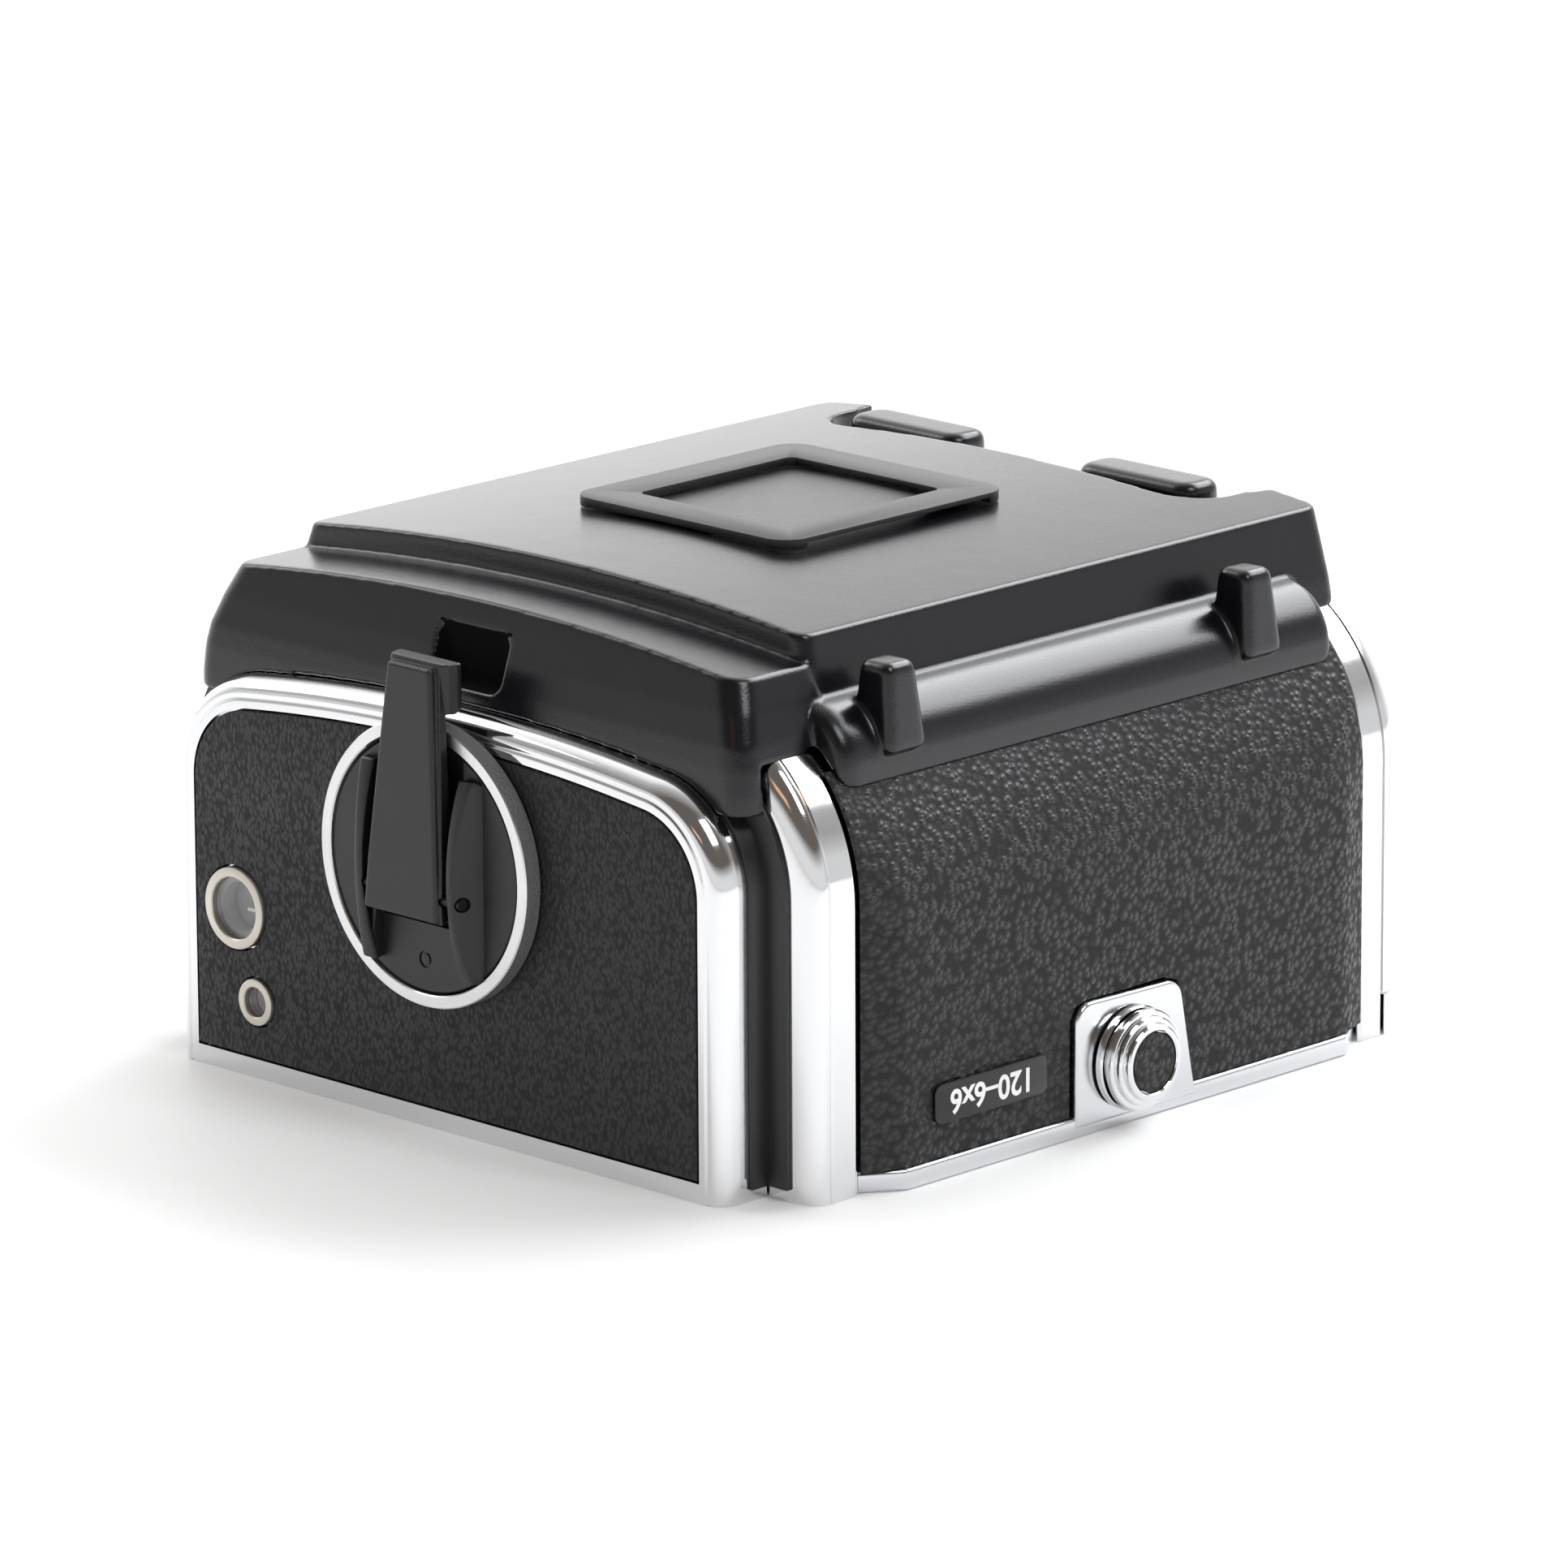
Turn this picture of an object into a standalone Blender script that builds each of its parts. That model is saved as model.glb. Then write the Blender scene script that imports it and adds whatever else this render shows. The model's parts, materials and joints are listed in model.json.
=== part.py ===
"""Roll-film magazine (6 x 6 cm film back) for a medium-format reflex camera.

The magazine lies on its camera-side face at Z = 0, with its rear cover up.
-Y is the winding-crank side, +Y the film-insert side, +X the top side with the
release button and -X the bottom side.  Sizes below are in millimetres in a
working frame whose X = 0 is the body's middle; the parent empty moves that
frame so that the whole object's box is centred on X and Y.
"""
import math
import bpy
import bmesh
from mathutils import Matrix, Vector

MM = 0.001
GAP = 0.3                     # running gap between neighbouring solids

# ---- body: rounded arch that holds the two spools ---------------------------
RIM_HALF, RIM_R, RIM_TOP = 43.7, 18.0, 46.1
BULGE_HALF, BULGE_R, BULGE_TOP = 45.6, 22.0, 46.9
WALL = 2.0
NEAR_SEAM, FAR_SEAM = -46.8, 31.8     # joints between shell and end pieces
RIM_NEAR, RIM_FAR = -42.9, 28.4       # where the leather meets the rims
BEND_NEAR, BEND_FAR = -38.5, 24.0     # where the leather's facets end
NEAR_FACE, FAR_FACE = -48.8, 35.3     # end faces of the body
LEDGE_HALF, LEDGE_TOP = 46.0, 2.1
TAB_FACE = 46.2                       # outer face of the release button's tab
OPTICAL_Y = -7.9                      # middle of the film gate
GATE = 56.0                           # picture opening, 6 x 6 cm format

# ---- gear case on the crank side ---------------------------------------------
CASE_HALF, CASE_R, CASE_TOP, CASE_CROWN = 37.6, 11.0, 41.8, 231.0
BEAD = 3.0                            # radius of the case's rounded edge
CASE_FACE, CASE_FLOOR, CASE_INNER, CASE_BACK = -55.0, -54.2, -53.4, -49.1
SKIN_FACE = -55.1

# ---- rear cover ----------------------------------------------------------------
COVER_HALF, COVER_EDGE_Z, COVER_PEAK_Z = 33.6, 52.0, 54.0
FLANK_FOOT_X, FLANK_FOOT_Z = 36.2, 41.8
TIER_FRONT, COVER_FAR = -40.0, 33.0
LOW_HALF, LOW_EDGE_Z, LOW_PEAK_Z = 34.2, 49.4, 51.3
LOW_FOOT_X, LOW_FOOT_Z = 37.4, 36.6
LOW_FRONT_TOP, LOW_FRONT_FOOT = -49.5, -51.9
MEMO_X, MEMO_Y, MEMO_TOP = 29.6, 31.2, 55.0
MEMO_HOLE_X, MEMO_HOLE_Y, MEMO_CENTRE_Y = 20.4, 21.4, -7.0

# ---- crank -----------------------------------------------------------------------
CRANK_Z = 27.0
RING_R, RING_IN, RING_FACE = 14.1, 12.8, -57.3
DISC_R, DISC_FACE, DISC_FLOOR, DISC_BACK = 12.5, -57.1, -56.1, -55.4
FIN_X, FIN_T, FIN_FACE, FIN_TIP = 5.9, 1.4, -59.9, -58.0
HINGE_Y, HINGE_Z, PIN_R = -59.0, 24.7, 0.6
ARM_FOOT_Z, ARM_TOP_Z, ARM_FACE_FOOT, ARM_FACE_TOP = 22.4, 47.6, -60.3, -58.6
ARM_HALF_FOOT, ARM_HALF_TOP, ARM_T = 5.0, 3.4, 1.3
KNOB_HALF, KNOB_FOOT_Z, KNOB_END = 4.4, 42.6, -55.7

# ---- gear train, levels from the case's face inwards ---------------------------
FLAG_Y = (-53.1, -52.7)
LEVEL_DIAL = (-52.4, -51.8)
LEVEL_COUNT = (-51.5, -50.9)
LEVEL_MAIN = (-50.6, -49.3)
MODULE_MAIN, MODULE_COUNT = 0.8, 0.5
CRANK_TEETH, REVERSE_TEETH, TAKEUP_TEETH, DRIVE_TEETH = 28, 14, 20, 18
PINION_TEETH, IDLER_TEETH, IDLER_PINION_TEETH, DIAL_TEETH = 12, 36, 10, 40
MESH_GAP = 0.12
SHAFT_R, POST_R, POST_BORE_R = 1.8, 0.8, 1.0
COUNTER_WINDOW = (-28.8, 16.8)
STATUS_WINDOW = (-26.0, 7.8)
DIAL_CENTRE = (-22.0, 19.2)
FLAG_PIVOT = (-18.6, 5.2)

# ---- release button on the top side ---------------------------------------------
BUTTON_Z, BUTTON_R, BUTTON_BASE_X, BUTTON_FACE_X = 6.8, 5.0, 46.5, 49.6
INLAY_R = 2.95
STEM_Y = -1.2                         # the stem sits off the button's middle

# ---- film insert ---------------------------------------------------------------------
SPOOL_X, SPOOL_Z, SPOOL_R, SPOOL_HALF = 26.08, 28.1, 12.4, 32.6
FRAME_NEAR, FRAME_FAR = -43.0, 26.2
KEY_Z, KEY_R, KEY_FACE = 24.0, 10.5, 36.3
WING_FACE = 37.6
SPRING_WIRE = 0.35

BOX_X = (-LEDGE_HALF, BUTTON_FACE_X)
BOX_Y = (ARM_FACE_FOOT, WING_FACE)
FRAME_SHIFT = Vector((-sum(BOX_X) / 2, -sum(BOX_Y) / 2, 0.0)) * MM

COLOURS = {
    "black_paint": ((0.012, 0.012, 0.012), 0.38, 0.0),
    "black_plastic": ((0.016, 0.016, 0.016), 0.5, 0.0),
    "leatherette": ((0.014, 0.014, 0.015), 0.55, 0.0),
    "chrome": ((0.78, 0.78, 0.79), 0.08, 1.0),
    "aluminium": ((0.62, 0.62, 0.63), 0.32, 1.0),
    "black_anodised": ((0.02, 0.02, 0.021), 0.42, 0.6),
    "nickel": ((0.56, 0.53, 0.48), 0.28, 1.0),
    "steel": ((0.5, 0.5, 0.51), 0.25, 1.0),
    "brass": ((0.7, 0.5, 0.2), 0.3, 1.0),
    "glass": ((0.85, 0.87, 0.88), 0.05, 0.0),
    "dial_face": ((0.30, 0.30, 0.31), 0.5, 0.0),
    "flag_red": ((0.55, 0.03, 0.02), 0.5, 0.0),
    "label": ((0.008, 0.008, 0.009), 0.2, 0.0),
    "felt": ((0.01, 0.01, 0.01), 0.9, 0.0),
}


# ---- scene and small helpers ------------------------------------------------------------
def clear_scene():
    for obj in list(bpy.data.objects):
        bpy.data.objects.remove(obj, do_unlink=True)


def make_collections():
    parts = bpy.data.collections.new("film_magazine")
    cutters = bpy.data.collections.new("cutters")
    bpy.context.scene.collection.children.link(parts)
    bpy.context.scene.collection.children.link(cutters)
    return parts, cutters


def material(name):
    found = bpy.data.materials.get(name)
    if found:
        return found
    colour, roughness, metallic = COLOURS[name]
    made = bpy.data.materials.new(name)
    made.use_nodes = True
    shader = made.node_tree.nodes["Principled BSDF"]
    shader.inputs["Base Color"].default_value = (*colour, 1.0)
    shader.inputs["Roughness"].default_value = roughness
    shader.inputs["Metallic"].default_value = metallic
    return made


def add_mesh(name, bm, look=None):
    """Turn a bmesh in millimetres into an object in metres."""
    bmesh.ops.recalc_face_normals(bm, faces=bm.faces)
    bmesh.ops.scale(bm, vec=(MM, MM, MM), verts=bm.verts)
    mesh = bpy.data.meshes.new(name)
    bm.to_mesh(mesh)
    bm.free()
    obj = bpy.data.objects.new(name, mesh)
    PARTS.objects.link(obj)
    if look:
        mesh.materials.append(material(look))
    return obj


def smooth(obj, degrees=40):
    obj.data.shade_smooth()
    obj.data.set_sharp_from_angle(angle=math.radians(degrees))
    return obj


def box(name, low, high, look=None):
    bm = bmesh.new()
    bmesh.ops.create_cube(bm, size=1.0)
    size = [high[i] - low[i] for i in range(3)]
    middle = [(high[i] + low[i]) / 2 for i in range(3)]
    bmesh.ops.scale(bm, vec=size, verts=bm.verts)
    bmesh.ops.translate(bm, vec=middle, verts=bm.verts)
    return add_mesh(name, bm, look)


def rod(name, axis, start, end, centre, radius, look=None, sides=24, radius_end=None):
    """Cylinder or cone along X, Y or Z; centre holds the other two coordinates."""
    bm = bmesh.new()
    far_radius = radius if radius_end is None else radius_end
    bmesh.ops.create_cone(bm, cap_ends=True, segments=sides, radius1=radius,
                          radius2=far_radius, depth=end - start)
    bmesh.ops.translate(bm, vec=(0, 0, (start + end) / 2), verts=bm.verts)
    place = {"X": lambda c: (c.z, c.x, c.y), "Y": lambda c: (c.y, c.z, c.x),
             "Z": lambda c: (c.x, c.y, c.z)}[axis]
    for vert in bm.verts:
        vert.co = Vector(place(vert.co))
    offset = {"X": (0, *centre), "Y": (centre[0], 0, centre[1]), "Z": (*centre, 0)}[axis]
    bmesh.ops.translate(bm, vec=offset, verts=bm.verts)
    return smooth(add_mesh(name, bm, look))


def slab(name, outline, axis, start, end, look=None):
    """Flat outline pushed along an axis: (x, z) along Y, (y, z) along X, (x, y) along Z."""
    place = {"X": lambda a, b, c: (c, a, b), "Y": lambda a, b, c: (a, c, b),
             "Z": lambda a, b, c: (a, b, c)}[axis]
    bm = bmesh.new()
    base = bm.faces.new([bm.verts.new(place(a, b, start)) for a, b in outline])
    pushed = bmesh.ops.extrude_face_region(bm, geom=[base])["geom"]
    verts = [item for item in pushed if isinstance(item, bmesh.types.BMVert)]
    bmesh.ops.translate(bm, vec=place(0, 0, end - start), verts=verts)
    return add_mesh(name, bm, look)


def loft(name, loops, look=None):
    """Closed solid through loops of equal length; built by hand as the sections differ."""
    bm = bmesh.new()
    rows = [[bm.verts.new(point) for point in loop] for loop in loops]
    count = len(rows[0])
    for row, following in zip(rows, rows[1:]):
        for i in range(count):
            j = (i + 1) % count
            bm.faces.new((row[i], row[j], following[j], following[i]))
    bm.faces.new(rows[0])
    bm.faces.new(rows[-1])
    return smooth(add_mesh(name, bm, look))


def turned(name, profile, axis, centre, look=None, steps=32):
    """Screw modifier on a profile of (radius, height) pairs, then laid along an axis."""
    mesh = bpy.data.meshes.new(name)
    verts = [(radius * MM, 0.0, height * MM) for radius, height in profile]
    mesh.from_pydata(verts, [(i, i + 1) for i in range(len(verts) - 1)], [])
    obj = bpy.data.objects.new(name, mesh)
    PARTS.objects.link(obj)
    screw = obj.modifiers.new("turn", "SCREW")
    screw.axis = "Z"
    screw.steps = steps
    screw.render_steps = steps
    screw.use_merge_vertices = True
    screw.merge_threshold = 1e-6
    bake(obj)
    turn = {"X": Matrix(((0, 0, 1), (1, 0, 0), (0, 1, 0))),
            "Y": Matrix(((0, 1, 0), (0, 0, 1), (1, 0, 0))),
            "Z": Matrix.Identity(3)}[axis]
    offset = {"X": (0, *centre), "Y": (centre[0], 0, centre[1]), "Z": (*centre, 0)}[axis]
    obj.data.transform(Matrix.Translation(Vector(offset) * MM) @ turn.to_4x4())
    if look:
        obj.data.materials.append(material(look))
    bm = bmesh.new()
    bm.from_mesh(obj.data)
    bmesh.ops.remove_doubles(bm, verts=bm.verts, dist=1e-6)
    bmesh.ops.recalc_face_normals(bm, faces=bm.faces)
    bm.to_mesh(obj.data)
    bm.free()
    return smooth(obj)


def bake(obj):
    """Replace an object's mesh by its evaluated one and drop the modifiers."""
    bpy.context.view_layer.update()
    depsgraph = bpy.context.evaluated_depsgraph_get()
    mesh = bpy.data.meshes.new_from_object(obj.evaluated_get(depsgraph))
    old = obj.data
    obj.modifiers.clear()
    obj.data = mesh
    bpy.data.meshes.remove(old)
    return obj


def combine(obj, others, operation="DIFFERENCE"):
    """Boolean with each of the others, which become hidden cutters."""
    for number, other in enumerate(others):
        for collection in list(other.users_collection):
            collection.objects.unlink(other)
        CUTTERS.objects.link(other)
        other.hide_render = True
        other.display_type = "WIRE"
        modifier = obj.modifiers.new("%s_%d" % (operation.lower(), number), "BOOLEAN")
        modifier.operation = operation
        modifier.solver = "EXACT"
        modifier.object = other
    bake(obj)
    obj.data.name = obj.name
    return obj


def cut(obj, *others):
    return combine(obj, others)


def join(obj, *others):
    return combine(obj, others, "UNION")


def soften(obj, width, segments=1, angle=40):
    bevel = obj.modifiers.new("edge", "BEVEL")
    bevel.width = width * MM
    bevel.segments = segments
    bevel.limit_method = "ANGLE"
    bevel.angle_limit = math.radians(angle)
    bevel.harden_normals = False
    bake(obj)
    return smooth(obj)


# ---- outlines ------------------------------------------------------------------------------
def arc(cx, cy, radius, start, end, count):
    angles = [math.radians(start + (end - start) * i / count) for i in range(count + 1)]
    return [(cx + radius * math.cos(a), cy + radius * math.sin(a)) for a in angles]


def arch(half, foot, radius, top, crown=None, corner=8, span=6):
    """Arch in (x, z): straight sides, round shoulders and a flat or crowned top."""
    inner = half - radius
    if crown is None:
        shoulder = top - radius
        lean = 0.0
    else:
        shoulder = top - crown + math.sqrt((crown - radius) ** 2 - inner ** 2)
        lean = math.degrees(math.asin(inner / (crown - radius)))
    right = arc(inner, shoulder, radius, 0, 90 - lean, corner)
    points = [(half, foot)] + right
    if crown is not None:
        points += arc(0, top - crown, crown, 90 - lean, 90 + lean, span)[1:-1]
    points += [(-x, z) for x, z in reversed(right)]
    return points + [(-half, foot)]


def rounded_box(x0, x1, y0, y1, radius, count=4):
    points = arc(x1 - radius, y1 - radius, radius, 0, 90, count)
    points += arc(x0 + radius, y1 - radius, radius, 90, 180, count)
    points += arc(x0 + radius, y0 + radius, radius, 180, 270, count)
    return points + arc(x1 - radius, y0 + radius, radius, 270, 360, count)


def circle(centre, radius, count=24):
    return arc(centre[0], centre[1], radius, 0, 360 - 360 / count, count - 1)


def crowned(half, edge_z, peak_z, count=8):
    """Points along a shallow arc from +half to -half."""
    rise = peak_z - edge_z
    radius = (half ** 2 + rise ** 2) / (2 * rise)
    angle = math.degrees(math.asin(half / radius))
    return arc(0, peak_z - radius, radius, 90 - angle, 90 + angle, count)


def gear_outline(teeth, module, phase):
    """Trapezoid teeth, thinner than half a pitch, so that pairs run free."""
    pitch = teeth * module / 2
    tip, root = pitch + 0.85 * module, pitch - 1.15 * module
    step = 2 * math.pi / teeth
    points = []
    for i in range(teeth):
        middle = phase + i * step
        for radius, share in ((root, -0.27), (tip, -0.11), (tip, 0.11), (root, 0.27)):
            angle = middle + share * step
            points.append((radius * math.cos(angle), radius * math.sin(angle)))
    return points


def meshed_phase(phase, teeth, direction, teeth_other):
    """Phase of the second gear so that a tooth meets a gap along the line of centres."""
    share = (direction - phase) * teeth / (2 * math.pi)
    return direction + math.pi - (0.5 - share) * 2 * math.pi / teeth_other


def shifted(points, centre):
    return [(x + centre[0], y + centre[1]) for x, y in points]


def meeting_point(first, r_first, second, r_second):
    """Upper crossing of two circles: where an idler sits between two gears."""
    dx, dz = second[0] - first[0], second[1] - first[1]
    distance = math.hypot(dx, dz)
    along = (r_first ** 2 - r_second ** 2 + distance ** 2) / (2 * distance)
    across = math.sqrt(r_first ** 2 - along ** 2)
    ux, uz = dx / distance, dz / distance
    return (first[0] + along * ux + across * uz, first[1] + along * uz - across * ux)


def pitch_r(teeth, module):
    return teeth * module / 2


CRANK_AXIS = (0.0, CRANK_Z)
TAKEUP_AXIS = (SPOOL_X, SPOOL_Z)
SUPPLY_AXIS = (-SPOOL_X, SPOOL_Z)
IDLER_AXIS = meeting_point(
    CRANK_AXIS, pitch_r(PINION_TEETH + IDLER_TEETH, MODULE_COUNT) + MESH_GAP,
    DIAL_CENTRE, pitch_r(IDLER_PINION_TEETH + DIAL_TEETH, MODULE_COUNT) + MESH_GAP)
REVERSE_AXIS = meeting_point(
    CRANK_AXIS, pitch_r(CRANK_TEETH + REVERSE_TEETH, MODULE_MAIN) + MESH_GAP,
    TAKEUP_AXIS, pitch_r(REVERSE_TEETH + TAKEUP_TEETH, MODULE_MAIN) + MESH_GAP)
DRIVE_X = 4.0
DRIVE_REACH = pitch_r(CRANK_TEETH + DRIVE_TEETH, MODULE_MAIN) + MESH_GAP
DRIVE_AXIS = (DRIVE_X, CRANK_Z - math.sqrt(DRIVE_REACH ** 2 - DRIVE_X ** 2))


# ---- camera-side face ---------------------------------------------------------------------
def front_plate():
    near, far = NEAR_SEAM + GAP, FAR_SEAM - GAP
    inner = RIM_HALF - WALL - GAP
    corner = RIM_HALF - 0.5
    right = [(inner, near), (inner, RIM_NEAR + GAP), (corner, RIM_NEAR + GAP), (LEDGE_HALF, BEND_NEAR),
             (LEDGE_HALF, BEND_FAR), (corner, RIM_FAR - GAP), (inner, RIM_FAR - GAP), (inner, far)]
    outline = right + [(-x, y) for x, y in reversed(right)]
    plate = slab("front_plate", outline, "Z", 0.0, LEDGE_TOP, "chrome")
    tab = [(-15.4, 1.0), (-15.3, 11.6), (-14.7, 12.7), (-13.4, 13.0), (-2.6, 13.0),
           (-0.9, 12.4), (-0.2, 10.9), (1.7, 1.0)]
    join(plate, slab("release_tab", tab, "X", 44.7, TAB_FACE))
    half = GATE / 2
    gate = box("gate_cut", (-half, OPTICAL_Y - half, -1), (half, OPTICAL_Y + half, 5))
    slot = slab("latch_slot", shifted(rounded_box(-2.4, 4.0, -1.2, 1.2, 1.1), (OPTICAL_Y, BUTTON_Z)),
                "X", 43, 47)
    return cut(plate, gate, slot)


def film_gate_frame():
    half = GATE / 2
    low, high = 3.3, 6.0
    frame = box("film_gate_frame", (-36.5, OPTICAL_Y - half - 4, low), (36.5, OPTICAL_Y + half + 4, high),
                "black_paint")
    gate = box("frame_cut", (-half, OPTICAL_Y - half, 0), (half, OPTICAL_Y + half, 9))
    channel = box("film_channel", (-40, OPTICAL_Y - 30.9, high - 0.5), (40, OPTICAL_Y + 30.9, 9))
    return cut(frame, gate, channel)


def slide_throat():
    loops = [[(RIM_HALF, FAR_SEAM + GAP, 0), (RIM_HALF, FAR_SEAM + GAP, 4.1),
              (-RIM_HALF, FAR_SEAM + GAP, 4.1), (-RIM_HALF, FAR_SEAM + GAP, 0)]]
    for degrees in (0, 30, 60, 90):
        angle = math.radians(degrees)
        half = RIM_HALF - BEAD * (1 - math.cos(angle))
        y = FAR_FACE - BEAD * (1 - math.sin(angle))
        loops.append([(half, y, 0), (half, y, 4.1), (-half, y, 4.1), (-half, y, 0)])
    throat = loft("slide_throat", loops, "chrome")
    return cut(throat, box("slide_slot", (-31, 30, 2.2), (31, 37, 3.2)))


def light_seal():
    return box("light_seal", (-31, 29.6, 2.45), (31, 31.2, 4.0), "felt")


# ---- shell and end pieces ----------------------------------------------------------------
def main_shell():
    shell = slab("main_shell", arch(RIM_HALF, 0, RIM_R, RIM_TOP), "Y", NEAR_SEAM, FAR_SEAM, "chrome")
    hollow = slab("shell_hollow", arch(RIM_HALF - WALL, -5, RIM_R - WALL, RIM_TOP - WALL), "Y", -60, 60)
    foot = box("shell_foot", (-50, RIM_NEAR + 0.05, -1), (50, RIM_FAR - 0.05, LEDGE_TOP + GAP))
    pocket = box("tab_pocket", (RIM_HALF - 1.0, -15.8, -1), (50, 2.2, 13.4))
    slot = box("slider_slot", (30, -14.5, 3.5), (50, 5.2, 10.2))
    return cut(shell, hollow, foot, pocket, slot)


def drive_bulkhead():
    outer = arch(RIM_HALF, 0, RIM_R, RIM_TOP)
    eased = arch(RIM_HALF - 1.6, 0, RIM_R - 1.6, RIM_TOP - 1.6)
    loops = [[(x, y, z) for x, z in outline] for y, outline in
             ((NEAR_SEAM - 0.05, outer), (NEAR_FACE + 0.7, outer), (NEAR_FACE, eased))]
    wall = loft("drive_bulkhead", loops, "chrome")
    bores = [rod("bore", "Y", -50, -40, axis, SHAFT_R + 0.15) for axis in (CRANK_AXIS, TAKEUP_AXIS)]
    return cut(wall, *bores)


def gear_case():
    outer = arch(CASE_HALF, 0, CASE_R, CASE_TOP, CASE_CROWN)
    loops = [[(x, CASE_BACK, z) for x, z in outer]]
    for degrees in (0, 30, 60, 90):
        angle = math.radians(degrees)
        inset = BEAD * (1 - math.cos(angle))
        y = CASE_FACE + BEAD * (1 - math.sin(angle))
        outline = arch(CASE_HALF - inset, 0, CASE_R - inset, CASE_TOP - inset, CASE_CROWN - inset)
        loops.append([(x, y, z) for x, z in outline])
    case = loft("gear_case", loops, "chrome")
    inset = 2.4
    hollow = slab("case_hollow", arch(CASE_HALF - inset, 1.4, CASE_R - inset, CASE_TOP - inset,
                                      CASE_CROWN - inset), "Y", CASE_INNER, -40)
    recess = slab("skin_recess", arch(34.6, 1.9, 8.0, 38.8, 228.0), "Y", -60, CASE_FLOOR)
    bores = [rod("bore", "Y", -60, -50, CRANK_AXIS, 3.6),
             rod("bore", "Y", -60, -50, COUNTER_WINDOW, 3.3),
             rod("bore", "Y", -60, -50, STATUS_WINDOW, 1.7)]
    port = box("drive_port", (DRIVE_X - 6.5, LEVEL_MAIN[0] - 0.4, -1), (DRIVE_X + 6.5, -40, 2))
    cut(case, hollow, recess, port, *bores)
    posts = [rod("post", "Y", CASE_INNER - 0.2, LEVEL_COUNT[1], IDLER_AXIS, POST_R, sides=16),
             rod("post", "Y", CASE_INNER - 0.2, LEVEL_DIAL[1], DIAL_CENTRE, POST_R, sides=16),
             rod("post", "Y", CASE_INNER - 0.2, FLAG_Y[1], FLAG_PIVOT, POST_R, sides=16),
             rod("post", "Y", CASE_INNER - 0.2, LEVEL_MAIN[1], REVERSE_AXIS, POST_R, sides=16),
             rod("post", "Y", CASE_INNER - 0.2, LEVEL_MAIN[1], DRIVE_AXIS, POST_R, sides=16)]
    return smooth(join(case, *posts))


def insert_end_plate():
    outer = arch(RIM_HALF, 4.4, RIM_R, RIM_TOP)
    loops = [[(x, FAR_SEAM + 0.05, z) for x, z in outer]]
    for degrees in (0, 30, 60, 90):
        angle = math.radians(degrees)
        inset = BEAD * (1 - math.cos(angle))
        outline = arch(RIM_HALF - inset, 4.4, RIM_R - inset, RIM_TOP - inset)
        loops.append([(x, FAR_FACE - BEAD * (1 - math.sin(angle)), z) for x, z in outline])
    plate = loft("insert_end_plate", loops, "chrome")
    recess = slab("end_recess", arch(39.9, 6.3, 14.2, 42.3), "Y", FAR_FACE - 0.8, 50)
    seat = rod("key_seat", "Y", 33.2, 50, (0, KEY_Z), KEY_R + GAP, sides=32)
    bore = rod("key_bore", "Y", 20, 50, (0, KEY_Z), 2.2)
    return cut(plate, recess, seat, bore)


def skin(name, outline, y0, y1, holes=()):
    panel = slab(name, outline, "Y", y0, y1, "leatherette")
    if holes:
        cut(panel, *holes)
    return panel


def crank_side_skin():
    holes = [rod("hole", "Y", -60, -50, CRANK_AXIS, 4.2),
             rod("hole", "Y", -60, -50, COUNTER_WINDOW, 4.35),
             rod("hole", "Y", -60, -50, STATUS_WINDOW, 2.6)]
    return skin("crank_side_skin", arch(34.3, 2.2, 7.7, 38.5, 227.7), SKIN_FACE, CASE_FLOOR - GAP, holes)


def insert_skin():
    hole = rod("hole", "Y", 30, 40, (0, KEY_Z), KEY_R + 0.9, sides=32)
    return skin("insert_skin", arch(39.6, 6.6, 13.9, 42.0), FAR_FACE - 0.5, FAR_FACE + 0.1, [hole])


def side_skin(name, side):
    """Leather over one long side: thin at the rims, bulging between two facets."""
    count = 10
    top = 40.4
    def profile(half, radius, top_z):
        shoulder = top_z - radius
        limit = math.degrees(math.asin(min(1.0, (top - shoulder) / radius)))
        curve = arc(half - radius, shoulder, radius, 0, limit, count)
        return [(half, LEDGE_TOP + GAP)] + curve
    inner = profile(RIM_HALF + GAP, RIM_R + GAP, RIM_TOP + GAP)
    thin = profile(RIM_HALF + GAP + 0.4, RIM_R + GAP + 0.4, RIM_TOP + GAP + 0.4)
    full = profile(BULGE_HALF, BULGE_R, BULGE_TOP)
    loops = []
    for y, outer in ((RIM_NEAR + 0.2, thin), (BEND_NEAR, full), (BEND_FAR, full), (RIM_FAR - 0.2, thin)):
        loops.append([(side * x, y, z) for x, z in outer + inner[::-1]])
    panel = loft(name, loops, "leatherette")
    if side > 0:
        cut(panel, slab("tab_gap", [(-15.8, 0), (-15.7, 11.8), (-14.9, 13.0), (-13.5, 13.4), (-2.4, 13.4),
                                    (-0.5, 12.8), (0.3, 11.1), (2.2, 0)], "X", 30, 60))
    return panel


def corner_strip(name, side):
    """Dark strip in the groove between the gear case and the body."""
    x0, x1 = CASE_HALF + 0.3, 39.6
    return box(name, (min(side * x0, side * x1), NEAR_FACE - 0.9, 1.6),
               (max(side * x0, side * x1), NEAR_FACE - GAP, 34.5), "leatherette")


# ---- rear cover -----------------------------------------------------------------------------
def flanked(top, foot_x, foot_z):
    """Top line with flanks that run on below their foot, to be trimmed by the body."""
    half, edge_z = top[0]
    low = foot_z - 3.0
    low_x = half + (foot_x - half) * (edge_z - low) / (edge_z - foot_z)
    return [(low_x, low)] + top + [(-low_x, low)]


def cover_upper():
    outline = flanked(crowned(COVER_HALF, COVER_EDGE_Z, COVER_PEAK_Z), FLANK_FOOT_X, FLANK_FOOT_Z)
    body = slab("rear_cover", outline, "Y", TIER_FRONT, COVER_FAR, "black_paint")
    return soften(body, 0.8, 2)


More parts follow.
